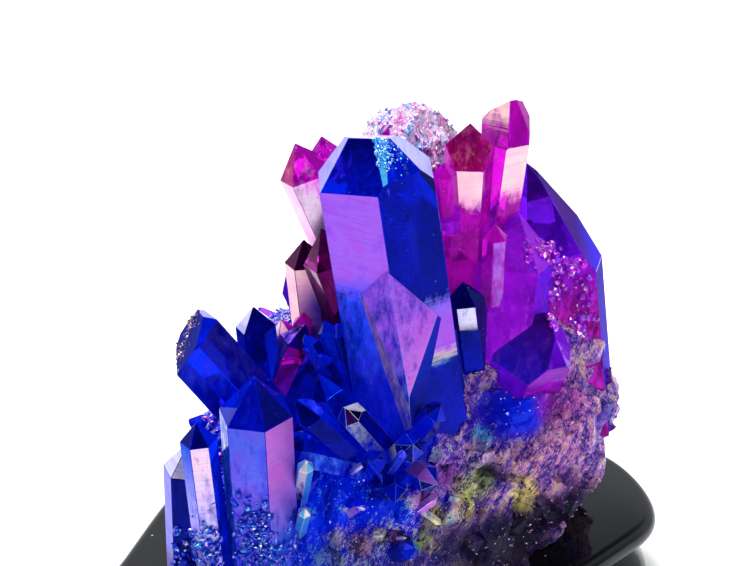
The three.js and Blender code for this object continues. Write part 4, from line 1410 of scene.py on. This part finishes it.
class AURA_OT_stage(bpy.types.Operator):
    """Sets the table, the light and the camera"""

    bl_idname = "aura.stage"
    bl_label = "Stage"

    def execute(self, context):
        settings = context.scene.aura_stage
        half = settings.floor_size / 2 / MM
        table = new_object("table", [(-half, -half, 0), (half, -half, 0), (half, half, 0),
                                     (-half, half, 0)], [[0, 1, 2, 3]],
                           white_table(settings.floor_colour))
        light_the_stage(context.scene, settings.backdrop)
        back = Vector((0, -math.cos(settings.camera_rise), math.sin(settings.camera_rise)))
        camera = linked("camera", bpy.data.cameras.new("camera"))
        camera.data.lens = CAMERA_LENS
        camera.location = Vector(settings.camera_target) + back * settings.camera_distance
        aim(camera, -back)
        context.scene.camera = camera
        return {"FINISHED"}


CAMERA_LENS = 85
# The surround is brightest where the view's own direction is behind and low.
BEHIND_SPAN = (-0.35, 0.15)
LOW_SPAN = (0.85, 0.55)
SURROUND_LIGHT = (0.06, 1.3)
LIGHTS_AIM = (0, 0, 0.06)
# Name, place, power and size.
LIGHTS = (("top light", (-0.25, 0.25, 0.9), 14, 0.5),
          ("front light", (0.5, -0.9, 0.7), 8, 0.25))


def aim(held, way):
    """Turns a camera or a lamp to face along a direction."""
    held.rotation_euler = way.to_track_quat("-Z", "Y").to_euler()


def light_the_stage(scene, backdrop):
    """Bright behind and at the sides, dark above and on the camera's side."""
    studio = Finish(bpy.data.worlds.new("studio"), "OutputWorld")
    scene.world = studio.holder
    way = studio.node("TexCoord", output="Generated")
    behind = studio.number("SeparateXYZ", {0: way}, "Y").between(*BEHIND_SPAN)
    low = studio.number("SeparateXYZ", {0: way}, "Z").between(*LOW_SPAN)
    level = studio.node("MapRange", {"Value": behind * low, "To Min": SURROUND_LIGHT[0],
                                     "To Max": SURROUND_LIGHT[1]})
    surround = studio.node("Background", {"Strength": level})
    seen = studio.node("Background", {"Color": tuple(backdrop)})
    seen_by_camera = studio.node("LightPath", output="Is Camera Ray")
    studio.done(studio.blend(seen_by_camera, surround, seen))
    scene.view_settings.view_transform = "Standard"
    scene.view_settings.look = "Medium High Contrast"
    for name, at, energy, size in LIGHTS:
        lamp = linked(name, bpy.data.lights.new(name, "AREA"))
        lamp.data.energy = energy
        lamp.data.size = size
        lamp.location = at
        aim(lamp, Vector(LIGHTS_AIM) - Vector(at))


class AURA_PT_sidebar(bpy.types.Panel):
    bl_idname = "AURA_PT_sidebar"
    bl_label = "Aura Quartz"
    bl_space_type = "VIEW_3D"
    bl_region_type = "UI"
    bl_category = "Aura Quartz"

    def draw(self, context):
        for place in SETTINGS:
            group = getattr(context.scene, place)
            box = self.layout.box()
            for name in group.__annotations__:
                box.prop(group, name)
        for operator in OPERATORS:
            self.layout.operator(operator.bl_idname)


OPERATORS = (AURA_OT_crystals, AURA_OT_rock, AURA_OT_druse, AURA_OT_crumbs, AURA_OT_stand,
             AURA_OT_stage)
SETTINGS = {"aura_cluster": ClusterSettings, "aura_stand": StandSettings,
            "aura_stage": StageSettings}
CLASSES = (*SETTINGS.values(), *OPERATORS, AURA_PT_sidebar)


def register():
    for made in CLASSES:
        bpy.utils.register_class(made)
    for place, group in SETTINGS.items():
        setattr(bpy.types.Scene, place, PointerProperty(type=group))


def unregister():
    for place in SETTINGS:
        delattr(bpy.types.Scene, place)
    for made in reversed(CLASSES):
        bpy.utils.unregister_class(made)


def main():
    register()
    bpy.ops.aura.crystals()
    bpy.ops.aura.rock()
    bpy.ops.aura.druse()
    bpy.ops.aura.crumbs()
    bpy.ops.aura.stand()
    bpy.ops.aura.stage()


if __name__ == "__main__":
    main()
